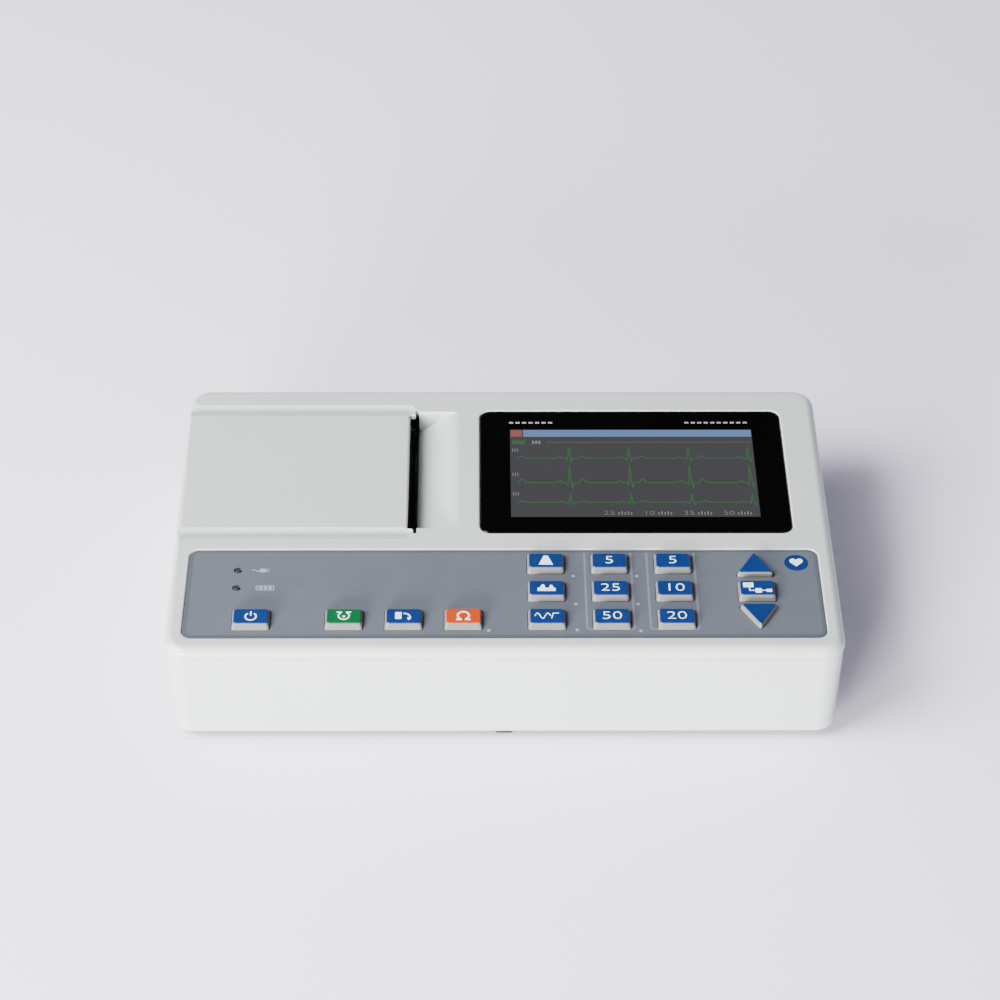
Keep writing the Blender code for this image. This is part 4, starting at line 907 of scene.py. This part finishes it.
def make_window():
    bm = bmesh.new()
    add_slab(bm, WINDOW_X, WINDOW_Y, WINDOW_Z, corner=WINDOW_RADIUS - NODE_GAP, top=0.0003, rim=4)
    window = object_from("window_pane", bm)
    clear_area = bmesh.new()
    add_slab(clear_area, PICTURE_X, PICTURE_Y, grown(WINDOW_Z, 0.001), corner=0.0003, arc=3)
    combine(window, "DIFFERENCE", clear_area)
    show(window, WINDOW, "recorder", "window", "display_window")
    marks = bmesh.new()
    low = PICTURE_Y[1] + 0.0044
    for start, count in ((PICTURE_X[0] - 0.0003, 7), (PICTURE_X[1] - 0.0305, 10)):
        for index in range(count):
            left = start + 0.0030 * index
            add_area(marks, rectangle((left, left + 0.0019), (low, low + 0.0010)), WINDOW_Z[1])
    show(object_from("window_marks", marks), INK_GREY, "recorder", "window")
    make_picture()


# ---- Keypad ---------------------------------------------------------------------------------------


def arc(centre, radius, start, end, count=24):
    """Points along an arc, in degrees."""
    turns = [math.radians(start + (end - start) * step / count) for step in range(count + 1)]
    return [(centre[0] + radius * math.cos(a), centre[1] + radius * math.sin(a)) for a in turns]


def wave(left, right, height, periods, count=36):
    """Points along a sine line."""
    points = []
    for step in range(count + 1):
        share = step / count
        points.append((left + (right - left) * share, height * math.sin(2 * math.pi * periods * share)))
    return points


def heart(size, count=40):
    """The outline of a heart, counter-clockwise."""
    points = []
    for step in range(count):
        turn = 2 * math.pi * step / count
        across = 16 * math.sin(turn) ** 3
        up = 13 * math.cos(turn) - 5 * math.cos(2 * turn) - 2 * math.cos(3 * turn) - math.cos(4 * turn)
        points.append((-across * size / 34, (up + 3) * size / 34))
    return points


# Symbols in millimetres round the middle of a key: lines with a width, and filled areas.
SYMBOLS = {
    "key_power": {
        "lines": [(arc((0, -0.3), 2.3, 125, 415), 0.6), ([(0, 0.3), (0, 2.9)], 0.6)],
    },
    "key_start": {
        "lines": [([(-3.1, 2.4), (-1.2, 2.4), *arc((0, 0.1), 2.3, 125, 415), (1.2, 2.4), (3.1, 2.4)], 0.6)],
        "areas": [[(-0.8, 0.1), (0.8, 0.1), (0.0, -1.2)]],
    },
    "key_copy": {
        "lines": [(arc((0.4, -0.9), 2.4, 100, -35), 0.6)],
        "areas": [
            [(-3.6, -1.9), (-0.9, -1.9), (-0.9, 2.3), (-3.6, 2.3)],
            [(2.1, -2.6), (3.4, -1.0), (1.5, -1.1)],
        ],
    },
    "key_stop": {
        "lines": [
            ([(-3.1, -2.3), (-1.1, -2.3), *arc((0, 0.2), 2.4, 240, -60), (1.1, -2.3), (3.1, -2.3)], 0.8),
        ],
    },
    "key_mode": {"areas": [[(-3.1, -2.9), (3.1, -2.9), (0.9, 2.9), (-0.9, 2.9)]]},
    "key_lead": {
        "areas": [
            [(-3.9, -2.1), (3.9, -2.1), (3.9, -0.2), (-3.9, -0.2)],
            [(-3.0, -0.2), (-0.4, -0.2), (-1.1, 2.1), (-1.9, 2.1)],
            [(1.0, -0.2), (3.1, -0.2), (2.5, 1.7), (1.6, 1.7)],
        ],
    },
    "key_filter": {
        "lines": [(wave(-5.2, 1.4, 1.7, 1.5), 0.4), ([(1.9, -1.7), (2.6, 1.6), (5.0, 1.6)], 0.4)],
    },
    "key_menu": {
        "areas": [
            rectangle((-6.0, -1.6), (0.2, 3.1)),
            rectangle((-0.9, 1.8), (-3.4, -0.6)),
            rectangle((3.9, 6.2), (-2.9, -1.1)),
        ],
        "lines": [
            ([(-3.4, 0.3), (-3.4, -1.9), (-0.8, -1.9)], 0.45),
            ([(1.7, -1.9), (4.0, -1.9)], 0.45),
        ],
    },
}
NUMERALS = {
    "key_speed_5": "5",
    "key_speed_25": "25",
    "key_speed_50": "50",
    "key_gain_5": "5",
    "key_gain_10": "10",
    "key_gain_20": "20",
}


def draw_symbol(bm, symbol, centre, z):
    """Draws one entry of SYMBOLS on the level z."""

    def placed(points):
        return [(centre[0] + x / 1000, centre[1] + y / 1000) for x, y in points]

    level = z
    for points, width in symbol.get("lines", []):
        add_stroke(bm, placed(points), width / 1000, level)
        level += INK_STEP
    for points in symbol.get("areas", []):
        add_area(bm, placed(points), level)
        level += INK_STEP


def key_colour(node):
    """The material and the slot of a key's face."""
    finishes = {"key_start": (KEY_GREEN, "key_green"), "key_stop": (KEY_ORANGE, "key_orange")}
    return finishes.get(node, (KEY_BLUE, "key_blue"))


def add_key_body(bm, outline_at, z):
    """A key from its flange up. outline_at gives the outline at a share of the taper and an inset."""
    flange_top = z[0] + 0.0007
    shoulder = TOP_Z - 0.0001
    face = z[1] - FACE_RIM
    layers = [
        (outline_at(0.0, -KEY_FLANGE_MARGIN), z[0]),
        (outline_at(0.0, -KEY_FLANGE_MARGIN), flange_top),
        (outline_at(0.0, 0.0), flange_top),
        (outline_at(0.0, 0.0), shoulder),
        (outline_at(0.06, 0.0), shoulder + 0.00025),
        (outline_at(1.0, 0.0), face),
        (outline_at(1.0, FACE_RIM), face + 0.0002),
    ]
    add_stack(bm, layers)


def add_key_face(bm, outline_at, z):
    """The printed top of a key, a thin cap with a rounded rim."""
    layers = [(outline_at(1.0, -FACE_OVERHANG), z[1] - FACE_RIM - 0.00002)]
    layers += [(outline_at(1.0, inset), z[1] - drop) for inset, drop in quarter_round(FACE_RIM, 5)]
    add_stack(bm, layers)


def make_key(node, outline_at):
    stem = node.replace("key_", "")
    z = spans(node)[2]
    body = bmesh.new()
    add_key_body(body, outline_at, z)
    material, slot = key_colour(node)
    show(object_from(f"{stem}_key_body", body), KEY_BODY, node, slot, node)
    face = bmesh.new()
    add_key_face(face, outline_at, z)
    show(object_from(f"{stem}_key_face", face), material, node, slot)


def make_keys():
    for node in KEY_NODES:
        x, y, z = spans(node)
        x, y = grown(x, -KEY_FLANGE_MARGIN), grown(y, -KEY_FLANGE_MARGIN)

        def outline_at(share, inset, x=x, y=y):
            side_x, side_y = KEY_TAPER[0] * share + inset, KEY_TAPER[1] * share + inset
            return rounded(rectangle(grown(x, -side_x), grown(y, -side_y)), 0.0011 - min(inset, 0.0), 6)

        make_key(node, outline_at)
        centre = (middle(x), middle(y))
        name = node.replace("key_", "") + "_key_symbol"
        if node in NUMERALS:
            symbol = text_mesh(name, NUMERALS[node], centre, 0.0070, z[1])
        else:
            ink = bmesh.new()
            draw_symbol(ink, SYMBOLS[node], centre, z[1])
            symbol = object_from(name, ink)
        show(symbol, INK_WHITE, node, key_colour(node)[1])
    for node in ARROW_NODES:

        def outline_at(share, inset, node=node):
            radius = ARROW_RADIUS[0] + (ARROW_RADIUS[1] - ARROW_RADIUS[0]) * share
            corner = ARROW_CORNER[0] + (ARROW_CORNER[1] - ARROW_CORNER[0]) * share
            return arrow_outline(node, radius - 2 * inset, corner)

        make_key(node, outline_at)


LABEL_FRAMES = [(0.0352, 0.0555), (0.0624, 0.0831)]
FRAME_Y = (-0.0763, LABEL_Y[1] - 0.0017)
FRAME_RADIUS = 0.0015
LABEL_DOTS = [
    (0.0577, -0.0421),
    (0.0575, -0.0603),
    (0.0580, -0.0773),
    (0.0300, -0.0420),
    (0.0307, -0.0602),
    (0.0309, -0.0767),
    (-0.0068, -0.0770),
]
BADGE_PLACE = (0.1277, -0.0335)
BADGE_RADIUS = 0.0052


def make_label():
    bm = bmesh.new()
    add_slab(bm, LABEL_X, LABEL_Y, LABEL_Z, corner=LABEL_RADIUS - NODE_GAP, top=0.00012, rim=3)
    label = object_from("label_overlay", bm)
    holes = bmesh.new()
    add_keypad_holes(holes, grown(LABEL_Z, 0.001), KEY_CLEARANCE)
    combine(label, "DIFFERENCE", holes)
    show(label, LABEL, "recorder", "label", "keypad_label")

    level = LABEL_Z[1]
    # A darker band just inside the label's edge, all round.
    edge = bmesh.new()
    outline = rounded(rectangle(LABEL_X, LABEL_Y, 0.0009), LABEL_RADIUS - 0.0012)
    add_stroke(edge, outline, 0.0014, level, closed=True)
    show(object_from("label_edge_line", edge), LABEL_EDGE, "recorder", "label")

    frames = bmesh.new()
    low = FRAME_Y[0] + FRAME_RADIUS
    for left, right in LABEL_FRAMES:
        near_left = arc((left + FRAME_RADIUS, low), FRAME_RADIUS, 180, 270)
        near_right = arc((right - FRAME_RADIUS, low), FRAME_RADIUS, 270, 360)
        sides = [(left, FRAME_Y[1]), *near_left, *near_right, (right, FRAME_Y[1])]
        add_stroke(frames, sides, 0.0009, level)
    show(object_from("label_frames", frames), INK_SOFT, "recorder", "label")

    lines = bmesh.new()
    for place in LABEL_DOTS:
        add_area(lines, circle(place, 0.00075, 16), level)
    lamp_x = middle(spans("mains_light_pipe")[0])
    mains_y = middle(spans("mains_light_pipe")[1])
    battery_y = middle(spans("battery_light_pipe")[1])
    plug = (lamp_x + 0.0100, mains_y)
    plug_body = rectangle(around(plug[0] + 0.0008, 0.0026), around(plug[1], 0.0024))
    add_area(lines, rounded(plug_body, 0.0006, 4), level)
    for side in (-0.0006, 0.0006):
        prong = [(plug[0] + 0.0021, plug[1] + side), (plug[0] + 0.0036, plug[1] + side)]
        add_stroke(lines, prong, 0.0004, level + INK_STEP)
    lead = [(plug[0] - 0.0005 + x / 1000, plug[1] + y / 1000) for x, y in wave(-3.4, 0.2, 0.5, 1.0)]
    add_stroke(lines, lead, 0.0004, level + INK_STEP)
    cell = (lamp_x + 0.0125, battery_y)
    case = rectangle(around(cell[0], 0.0072), around(cell[1], 0.0026))
    add_stroke(lines, case, 0.0004, level, closed=True)
    add_area(lines, rectangle((cell[0] - 0.0044, cell[0] - 0.0036), around(cell[1], 0.0012)), level)
    for step in (-1, 0, 1):
        bar = around(cell[0] + 0.0020 * step, 0.0013)
        add_area(lines, rectangle(bar, around(cell[1], 0.0016)), level)
    show(object_from("label_print", lines), INK_GREY, "recorder", "label")

    badge = bmesh.new()
    add_area(badge, circle(BADGE_PLACE, BADGE_RADIUS, 48), level)
    show(object_from("badge_ground", badge), KEY_BLUE, "recorder", "label")
    mark = bmesh.new()
    outline = [(BADGE_PLACE[0] + x, BADGE_PLACE[1] + y) for x, y in heart(0.0062)]
    add_area(mark, outline, level + INK)
    show(object_from("badge_heart", mark), INK_WHITE, "recorder", "label")

    for node in ("mains_light_pipe", "battery_light_pipe"):
        x, y, z = spans(node)
        pipe = bmesh.new()
        radius = (x[1] - x[0]) / 2
        add_rod(pipe, "Z", (middle(x), middle(y)), radius, z, end=0.0009, segments=32, rim=6)
        show(object_from(node.replace("light_pipe", "lamp"), pipe), LENS, "recorder", "lens", node)


# ---- Underside ------------------------------------------------------------------------------------


def add_cross(bm, centre, reach, width, z):
    """Two crossed bars that taper to a point, the recess of a cross-head screw."""
    for long_x in (True, False):
        sizes = (reach, width) if long_x else (width, reach)
        wide = rectangle(around(centre[0], sizes[0]), around(centre[1], sizes[1]))
        narrow = rectangle(around(centre[0], sizes[0] * 0.45), around(centre[1], sizes[1] * 0.6))
        add_stack(bm, [(wide, z[0]), (narrow, z[1])])


def make_screw(name, node, head_radius, shank_radius):
    x, y, z = spans(node)
    centre = (middle(x), middle(y))
    head_top = z[0] + head_radius * 0.5
    bm = bmesh.new()
    add_rod(bm, "Z", centre, head_radius, (z[0], head_top), start=head_radius * 0.3, end=0.0001)
    screw = object_from(name, bm)
    shank = bmesh.new()
    add_rod(shank, "Z", centre, shank_radius, (head_top - 0.0003, z[1]), end=0.0004, segments=24)
    combine(screw, "UNION", shank)
    recess = bmesh.new()
    recess_z = (z[0] - 0.0002, z[0] + head_radius * 0.38)
    add_cross(recess, centre, head_radius * 1.1, head_radius * 0.28, recess_z)
    combine(screw, "DIFFERENCE", recess, overlapping=True)
    show(screw, STEEL, "recorder", "steel", node)


def make_underside():
    for corner in CORNER_NAMES:
        make_screw(f"case_screw_{corner}", f"housing_screw_{corner}", 0.0025, 0.0015)
        x, y, z = spans(f"foot_{corner}")
        centre, radius = (middle(x), middle(y)), (x[1] - x[0]) / 2
        flare = 0.0008
        bm = bmesh.new()
        layers = []
        for inset, place in rim_profile(z, 0.0007, 0.0002, 5):
            lean = flare * (z[1] - place) / (z[1] - z[0])
            layers.append((circle(centre, radius - lean - inset), place))
        add_stack(bm, layers)
        foot = object_from(f"rubber_foot_{corner}", bm)
        ring = bmesh.new()
        add_tube(ring, "Z", centre, radius * 0.62, radius * 0.50, (z[0] - 0.001, z[0] + 0.0005), 0.0001)
        combine(foot, "DIFFERENCE", ring)
        show(foot, RUBBER, "recorder", "rubber", f"foot_{corner}")
    x, y, z = spans("foot_front_centre")
    bm = bmesh.new()
    add_slab(bm, x, y, z, corner=0.0015, bottom=0.0006, top=0.0002, arc=6)
    show(object_from("rubber_foot_front_centre", bm), RUBBER, "recorder", "rubber", "foot_front_centre")

    make_screw("hatch_screw", "battery_door_screw", 0.0027, 0.0011)
    tab_right = spans("battery_door")[0][1]
    bm = bmesh.new()
    plate_z = (BASE_Z, 0.006)
    add_slab(bm, (0.0013, 0.0837), (-0.0817, -0.0043), plate_z, corner=0.0013, bottom=0.0003, rim=3)
    hatch = object_from("battery_hatch", bm)
    extras = bmesh.new()
    add_slab(extras, (0.080, tab_right), around(DOOR_Y, 0.0114), (BASE_Z, 0.0059), corner=0.001, arc=5)
    for y in (-0.066, -0.020):
        add_slab(extras, (0.0014, 0.0034), around(y, 0.010), (0.005, 0.0079))
        add_slab(extras, (-0.0014, 0.0024), around(y, 0.010), (0.0068, 0.0078))
    combine(hatch, "UNION", extras, overlapping=True)
    holes = bmesh.new()
    add_rod(holes, "Z", (DOOR_SCREW_X, DOOR_Y), 0.0014, (0.003, 0.0065), segments=24)
    add_rod(holes, "Z", (DOOR_SCREW_X, DOOR_Y), 0.0031, (0.003, 0.0050), segments=40)
    rib_z = (BASE_Z - 0.001, BASE_Z + 0.0005)
    for step in range(6):
        rib = around(0.0665 + 0.0024 * step, 0.0012)
        add_slab(holes, rib, around(DOOR_Y, 0.024), rib_z, corner=0.0005, arc=4)
    combine(hatch, "DIFFERENCE", holes, overlapping=True)
    show(hatch, HOUSING, "recorder", "housing", "battery_door")


# ---- Connectors -----------------------------------------------------------------------------------


def make_mains_socket():
    x, y, z = spans("mains_inlet")
    centre = centre_across("mains_inlet", "Y")
    flange_y = (0.0865, y[1])
    bm = bmesh.new()
    add_slab(bm, x, z, flange_y, corner=0.0016, top=0.0006, axis="Y")
    socket = object_from("mains_socket", bm)
    body = bmesh.new()
    add_panel(body, "Y", centre, (0.0274, 0.0200), (y[0], 0.0870), corner=0.001)
    combine(socket, "UNION", body)

    def mouth(wide, tall, chamfer):
        """A rectangle whose two upper corners are cut off."""
        half_w, half_t = wide / 2, tall / 2
        corners = [
            (-half_w, -half_t),
            (half_w, -half_t),
            (half_w, half_t - chamfer),
            (half_w - chamfer, half_t),
            (-half_w + chamfer, half_t),
            (-half_w, half_t - chamfer),
        ]
        return rounded([(centre[0] + u, centre[1] + v) for u, v in corners], 0.0008, 5)

    hole = bmesh.new()
    inner, outer = mouth(0.0240, 0.0164, 0.0045), mouth(0.0256, 0.0180, 0.0049)
    layers = [(inner, 0.0720), (inner, y[1] - 0.0008), (outer, y[1] + CLEAR), (outer, y[1] + ABOVE)]
    add_stack(hole, layers, "Y")
    combine(socket, "DIFFERENCE", hole)
    show(socket, BLACK, "recorder", "black_plastic", "mains_inlet")
    for name, side, rise in (("left", -0.007, -0.002), ("middle", 0.0, 0.002), ("right", 0.007, -0.002)):
        pin = bmesh.new()
        place = (centre[0] + side, centre[1] + rise)
        add_panel(pin, "Y", place, (0.002, 0.004), (0.0721, 0.0835), corner=0.0003, top=0.0008, arc=3)
        show(object_from(f"mains_pin_{name}", pin), PLATED, "recorder", "steel")


def make_earth_terminal():
    y = spans("earth_stud")[1]
    centre = centre_across("earth_stud", "Y")
    bm = bmesh.new()
    add_rod(bm, "Y", centre, 0.0030, y, end=0.0009, segments=40, rim=4)
    stud = object_from("earth_terminal", bm)
    grooves = bmesh.new()
    for step in range(3):
        place = y[1] - 0.0016 - 0.0009 * step
        add_tube(grooves, "Y", centre, 0.0036, 0.00272, around(place, 0.0004), 0.0001)
    combine(stud, "DIFFERENCE", grooves)
    show(stud, BRASS, "recorder", "brass", "earth_stud")
    nut = bmesh.new()
    hexagon = circle(centre, 0.0050, 6)
    add_stack(nut, [(hexagon, 0.0838), (hexagon, 0.0860), (circle(centre, 0.0046, 6), 0.0862)], "Y")
    nut_piece = object_from("earth_nut", nut)
    bore = bmesh.new()
    add_rod(bore, "Y", centre, 0.00305, (0.080, 0.090), segments=40)
    combine(nut_piece, "DIFFERENCE", bore)
    show(nut_piece, BRASS, "recorder", "brass")


def make_patient_socket():
    x, y, z = spans("patient_connector")
    centre = centre_across("patient_connector", "X")

    def add_plug_shape(bm, wide, tall, span):
        """A D-shaped bar: its lower side is shorter than its upper side."""
        half_w, half_t, lean = wide / 2, tall / 2, tall * 0.13
        corners = [(-half_w + lean, -half_t), (half_w - lean, -half_t), (half_w, half_t), (-half_w, half_t)]
        outline = rounded([(centre[0] + u, centre[1] + v) for u, v in corners], 0.0016, 6)
        add_stack(bm, [(outline, span[0]), (outline, span[1])], "X")

    bm = bmesh.new()
    add_slab(bm, y, z, (0.1378, 0.1390), corner=0.0015, top=0.0003, axis="X")
    flange = object_from("patient_socket", bm)
    shell = bmesh.new()
    add_plug_shape(shell, 0.0250, 0.0084, (0.1290, x[1]))
    combine(flange, "UNION", shell)
    hollow = bmesh.new()
    add_plug_shape(hollow, 0.0238, 0.0072, (0.1385, 0.1460))
    combine(flange, "DIFFERENCE", hollow)
    show(flange, PLATED, "recorder", "steel", "patient_connector")

    insert = bmesh.new()
    add_plug_shape(insert, 0.0230, 0.0064, (0.1386, 0.1434))
    block = object_from("patient_socket_insert", insert)
    holes = bmesh.new()
    pitch = 0.00277
    for row, count in ((0.00142, 8), (-0.00142, 7)):
        for step in range(count):
            place = (centre[0] + pitch * (step - (count - 1) / 2), centre[1] + row)
            add_rod(holes, "X", place, 0.00062, (0.1405, 0.1445), segments=14)
    combine(block, "DIFFERENCE", holes)
    show(block, BLACK, "recorder", "black_plastic")
    for name, side in (("front", -1), ("rear", 1)):
        lock = bmesh.new()
        place = (centre[0] + side * 0.01665, centre[1])
        hexagon = circle(place, 0.0027, 6)
        layers = [(hexagon, 0.1391), (hexagon, x[1] - 0.0003), (circle(place, 0.0024, 6), x[1])]
        add_stack(lock, layers, "X")
        lock_piece = object_from(f"patient_socket_lock_{name}", lock)
        bore = bmesh.new()
        add_rod(bore, "X", place, 0.0012, (0.1400, 0.1460), segments=24)
        combine(lock_piece, "DIFFERENCE", bore)
        show(lock_piece, STEEL, "recorder", "steel")


def make_usb_socket():
    x, y, z = spans("usb_port")
    centre = centre_across("usb_port", "X")
    bm = bmesh.new()
    add_slab(bm, y, z, x, corner=0.0005, top=0.0002, axis="X", arc=4)
    port = object_from("usb_shell", bm)
    hollow = bmesh.new()
    add_panel(hollow, "X", centre, (0.0132, 0.0058), (0.1310, 0.1450), corner=0.0003, arc=3)
    combine(port, "DIFFERENCE", hollow)
    show(port, PLATED, "recorder", "steel", "usb_port")
    tongue = bmesh.new()
    tongue_z = (centre[1] + 0.0003, centre[1] + 0.0019)
    tongue_x = (0.1311, 0.1422)
    add_slab(tongue, around(centre[0], 0.0110), tongue_z, tongue_x, corner=0.0002, axis="X", arc=3)
    show(object_from("usb_tongue", tongue), BLACK, "recorder", "black_plastic")
    contacts = bmesh.new()
    contact_z = (centre[1] + 0.00005, centre[1] + 0.0003)
    for side in (-0.0035, -0.0012, 0.0012, 0.0035):
        place = around(centre[0] + side, 0.0011)
        add_slab(contacts, place, contact_z, (0.1330, 0.1418), axis="X")
    show(object_from("usb_contacts", contacts), GOLD, "recorder", "brass")


# ---- Paper bay and printer ------------------------------------------------------------------------


def make_paper():
    """A pack of zigzag-folded chart paper: layers that bulge a little at the folds."""
    x, y, z = spans("paper_pack")
    count = 66
    pitch = (z[1] - z[0]) / count
    layers = []
    for step in range(count):
        shift = 0.00012 * math.sin(step * 1.9) + 0.00008 * math.sin(step * 0.7)
        level = z[0] + pitch * step
        for inset, lift in ((0.00028, 0.02), (0.00010, 0.30), (0.00010, 0.70), (0.00028, 0.98)):
            sheet_x = (x[0] + inset + abs(shift), x[1] - inset + min(shift, 0))
            outline = rounded(rectangle(sheet_x, grown(y, -inset / 3)), 0.0004, 2)
            layers.append((outline, level + pitch * lift))
    bm = bmesh.new()
    add_stack(bm, layers)
    show(object_from("folded_chart_paper", bm), PAPER, "recorder", "paper", "paper_pack")


def make_roller():
    """The roller's sleeve. Its shaft, gear and bushes keep their own shape."""
    x, y, z = spans("platen_rubber")
    centre, radius = (middle(x), middle(z)), (x[1] - x[0]) / 2
    bm = bmesh.new()
    add_tube(bm, "Y", centre, radius, 0.0023, y, 0.0004, segments=96)
    show(object_from("roller_sleeve", bm), ROLLER, "platen", "rubber", "platen_rubber")


def make_motor():
    x, y, z = spans("stepper_motor")
    centre, radius = (middle(x), middle(z)), (x[1] - x[0]) / 2
    bm = bmesh.new()
    add_rod(bm, "Y", centre, radius, (y[0], y[1] - 0.0015), start=0.0006, end=0.0006, segments=72)
    motor = object_from("feed_motor", bm)
    boss = bmesh.new()
    add_rod(boss, "Y", centre, 0.0028, (y[1] - 0.0025, y[1]), end=0.0003, segments=36)
    combine(motor, "UNION", boss)
    bore = bmesh.new()
    add_rod(bore, "Y", centre, 0.0014, (y[0] + 0.009, y[1] + 0.001), segments=24)
    combine(motor, "DIFFERENCE", bore)
    show(motor, STEEL, "recorder", "steel", "stepper_motor")


def spring_reach(turn):
    """How far along the spring a turn lies, from 0 to 1: the first and the last turn lie closed."""
    closed = 2 * SPRING_WIRE / SPRING_LENGTH
    if turn <= 1:
        return closed * turn
    if turn >= SPRING_TURNS - 1:
        return 1 - closed * (SPRING_TURNS - turn)
    return closed + (1 - 2 * closed) * (turn - 1) / (SPRING_TURNS - 2)


def make_spring(node):
    """A head spring in two halves that close up when the head tilts, the left one on the arm."""
    x, y, z = spans(node)
    axis = Vector((x[0] + SPRING_WIRE, middle(y), middle(z)))
    along = Vector((1.0, 0.0, 0.0))
    steps = 24 * SPRING_TURNS // 2
    halves = (("arm", 0, "print_head_arm", ()), ("fixed", SPRING_TURNS / 2, "recorder", (node,)))
    for side, first, body, replaced in halves:
        rings = []
        for step in range(steps + 1):
            turn = first + SPRING_TURNS / 2 * step / steps
            angle = 2 * math.pi * turn
            outward = Vector((0.0, math.cos(angle), math.sin(angle)))
            place = axis + along * (SPRING_LENGTH * spring_reach(turn)) + outward * SPRING_RADIUS
            rings.append([place + outward * u + along * v for u, v in circle((0, 0), SPRING_WIRE, 12)])
        bm = bmesh.new()
        add_loft(bm, rings)
        show(object_from(f"{node}_{side}_half", bm), STEEL, body, "steel", *replaced)


KEPT_NODES = {
    "paper_tray": (TRAY, "tray", 0.0003),
    "platen_shaft": (STEEL, "steel", 0.0002),
    "platen_gear": (NYLON, "nylon", 0.00008),
    "platen_bush_front": (BRASS, "brass", 0.00015),
    "platen_bush_rear": (BRASS, "brass", 0.00015),
    "idler_gear": (NYLON, "nylon", 0.00008),
    "idler_axle": (STEEL, "steel", 0.0002),
    "motor_pinion": (BRASS, "brass", 0.00008),
    "print_head": (CERAMIC, "ceramic", 0.0001),
    "head_bracket": (STEEL, "steel", 0.0002),
    "head_pivot_pin": (STEEL, "steel", 0.0002),
    "lcd_module": (LCD_FRAME, "screen", 0.0003),
    "keypad_board": (BOARD, "circuit_board", 0.0001),
    "main_board": (BOARD, "circuit_board", 0.0001),
    "power_supply": (BOARD, "circuit_board", 0.0001),
    "battery_pack": (BATTERY, "battery", 0.0003),
}


def finish_kept_nodes():
    """Materials and softened edges on the nodes whose own shape is right."""
    for node, (material, slot, edge) in KEPT_NODES.items():
        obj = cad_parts[node]
        obj.data.materials.clear()
        obj.data.materials.append(material)
        if edge:
            weld = obj.modifiers.new("weld", "WELD")
            weld.merge_threshold = 0.000002
            bevel = obj.modifiers.new("edges", "BEVEL")
            bevel.width = edge
            bevel.segments = 2
            bevel.limit_method = "ANGLE"
            bevel.angle_limit = math.radians(40)


# ---- Studio ---------------------------------------------------------------------------------------

FLOOR_RADIUS = 2.4
SWEEP_RADIUS = 0.9
SWEEP_TOP = 1.1

AIM = (0.0, 0.0, 0.03)
COOL = (0.97, 0.985, 1.0)
WARM = (1.0, 0.985, 0.93)
# Name, place, size, power in watts and colour of each lamp. The low one lights the front face.
STUDIO_LIGHTS = [
    ("left_light", (-1.3, -0.6, 1.3), (1.2, 1.2), 124.0, COOL),
    ("left_high_light", (-0.9, -0.1, 1.5), (1.0, 1.0), 10.0, COOL),
    ("top_light", (0.0, 0.1, 1.9), (1.6, 1.2), 7.0, COOL),
    ("front_low_light", (-0.8, -1.7, 0.3), (0.8, 0.4), 166.0, WARM),
]

WORLD_STRENGTH = 0.02

CAMERA_PLACE = (-0.0123, -1.0237, 0.9206)
CAMERA_PITCH = math.radians(40.0)
CAMERA_HEADING = math.radians(0.603)
CAMERA_ROLL = math.radians(0.345)
CAMERA_LENS = 108.5


def make_floor():
    """A pale floor that sweeps up into a low round wall, far outside the object."""
    profile = [(0.001, 0.0), (FLOOR_RADIUS, 0.0)]
    for rise, short in quarter_round(SWEEP_RADIUS, 12)[1:]:
        profile.append((FLOOR_RADIUS + SWEEP_RADIUS - short, rise))
    profile.append((FLOOR_RADIUS + SWEEP_RADIUS, SWEEP_TOP))
    bm = bmesh.new()
    loops = skin(bm, [[(u, v, height) for u, v in circle((0, 0), radius, 96)] for radius, height in profile])
    bm.faces.new(loops[0])
    floor = object_from("studio_floor", bm)
    floor.data.materials.append(surface("studio_paper", (0.84, 0.80, 0.95), 0.8, tone=0.01, tone_scale=1.5))
    floor.data.shade_smooth()


def make_light(name, place, size, power, colour):
    """A rectangular lamp that points at the object."""
    data = bpy.data.lights.new(name, "AREA")
    data.shape = "RECTANGLE"
    data.size, data.size_y = size
    data.energy = power
    data.color = colour
    light = bpy.data.objects.new(name, data)
    bpy.context.scene.collection.objects.link(light)
    light.location = place
    light.rotation_euler = (Vector(AIM) - Vector(place)).to_track_quat("-Z", "Y").to_euler()


def make_studio():
    make_floor()
    for lamp in STUDIO_LIGHTS:
        make_light(*lamp)
    world = bpy.data.worlds.new("studio")
    bpy.context.scene.world = world
    world.use_nodes = True
    background = world.node_tree.nodes["Background"]
    background.inputs["Color"].default_value = (0.92, 0.93, 1.0, 1.0)
    background.inputs["Strength"].default_value = WORLD_STRENGTH


def make_camera():
    data = bpy.data.cameras.new("camera")
    data.lens = CAMERA_LENS
    data.sensor_width = 36.0
    data.clip_start, data.clip_end = 0.05, 20.0
    camera = bpy.data.objects.new("camera", data)
    bpy.context.scene.collection.objects.link(camera)
    camera.location = CAMERA_PLACE
    level = math.cos(CAMERA_PITCH)
    forward = Vector(
        (level * math.sin(CAMERA_HEADING), level * math.cos(CAMERA_HEADING), -math.sin(CAMERA_PITCH))
    )
    aim = forward.to_track_quat("-Z", "Y").to_matrix()
    camera.rotation_euler = (aim @ Matrix.Rotation(CAMERA_ROLL, 3, "Z")).to_euler()
    bpy.context.scene.camera = camera


make_camera()
make_studio()
make_upper_shell()
make_lower_shell()
# Painted shade: a black strip that darkens the paper slot.
make_painted_slot_shade()
make_cover()
make_window()
make_label()
make_keys()
make_underside()
make_mains_socket()
make_earth_terminal()
make_patient_socket()
make_usb_socket()
make_paper()
make_roller()
make_motor()
make_spring("head_spring_front")
make_spring("head_spring_rear")
finish_kept_nodes()
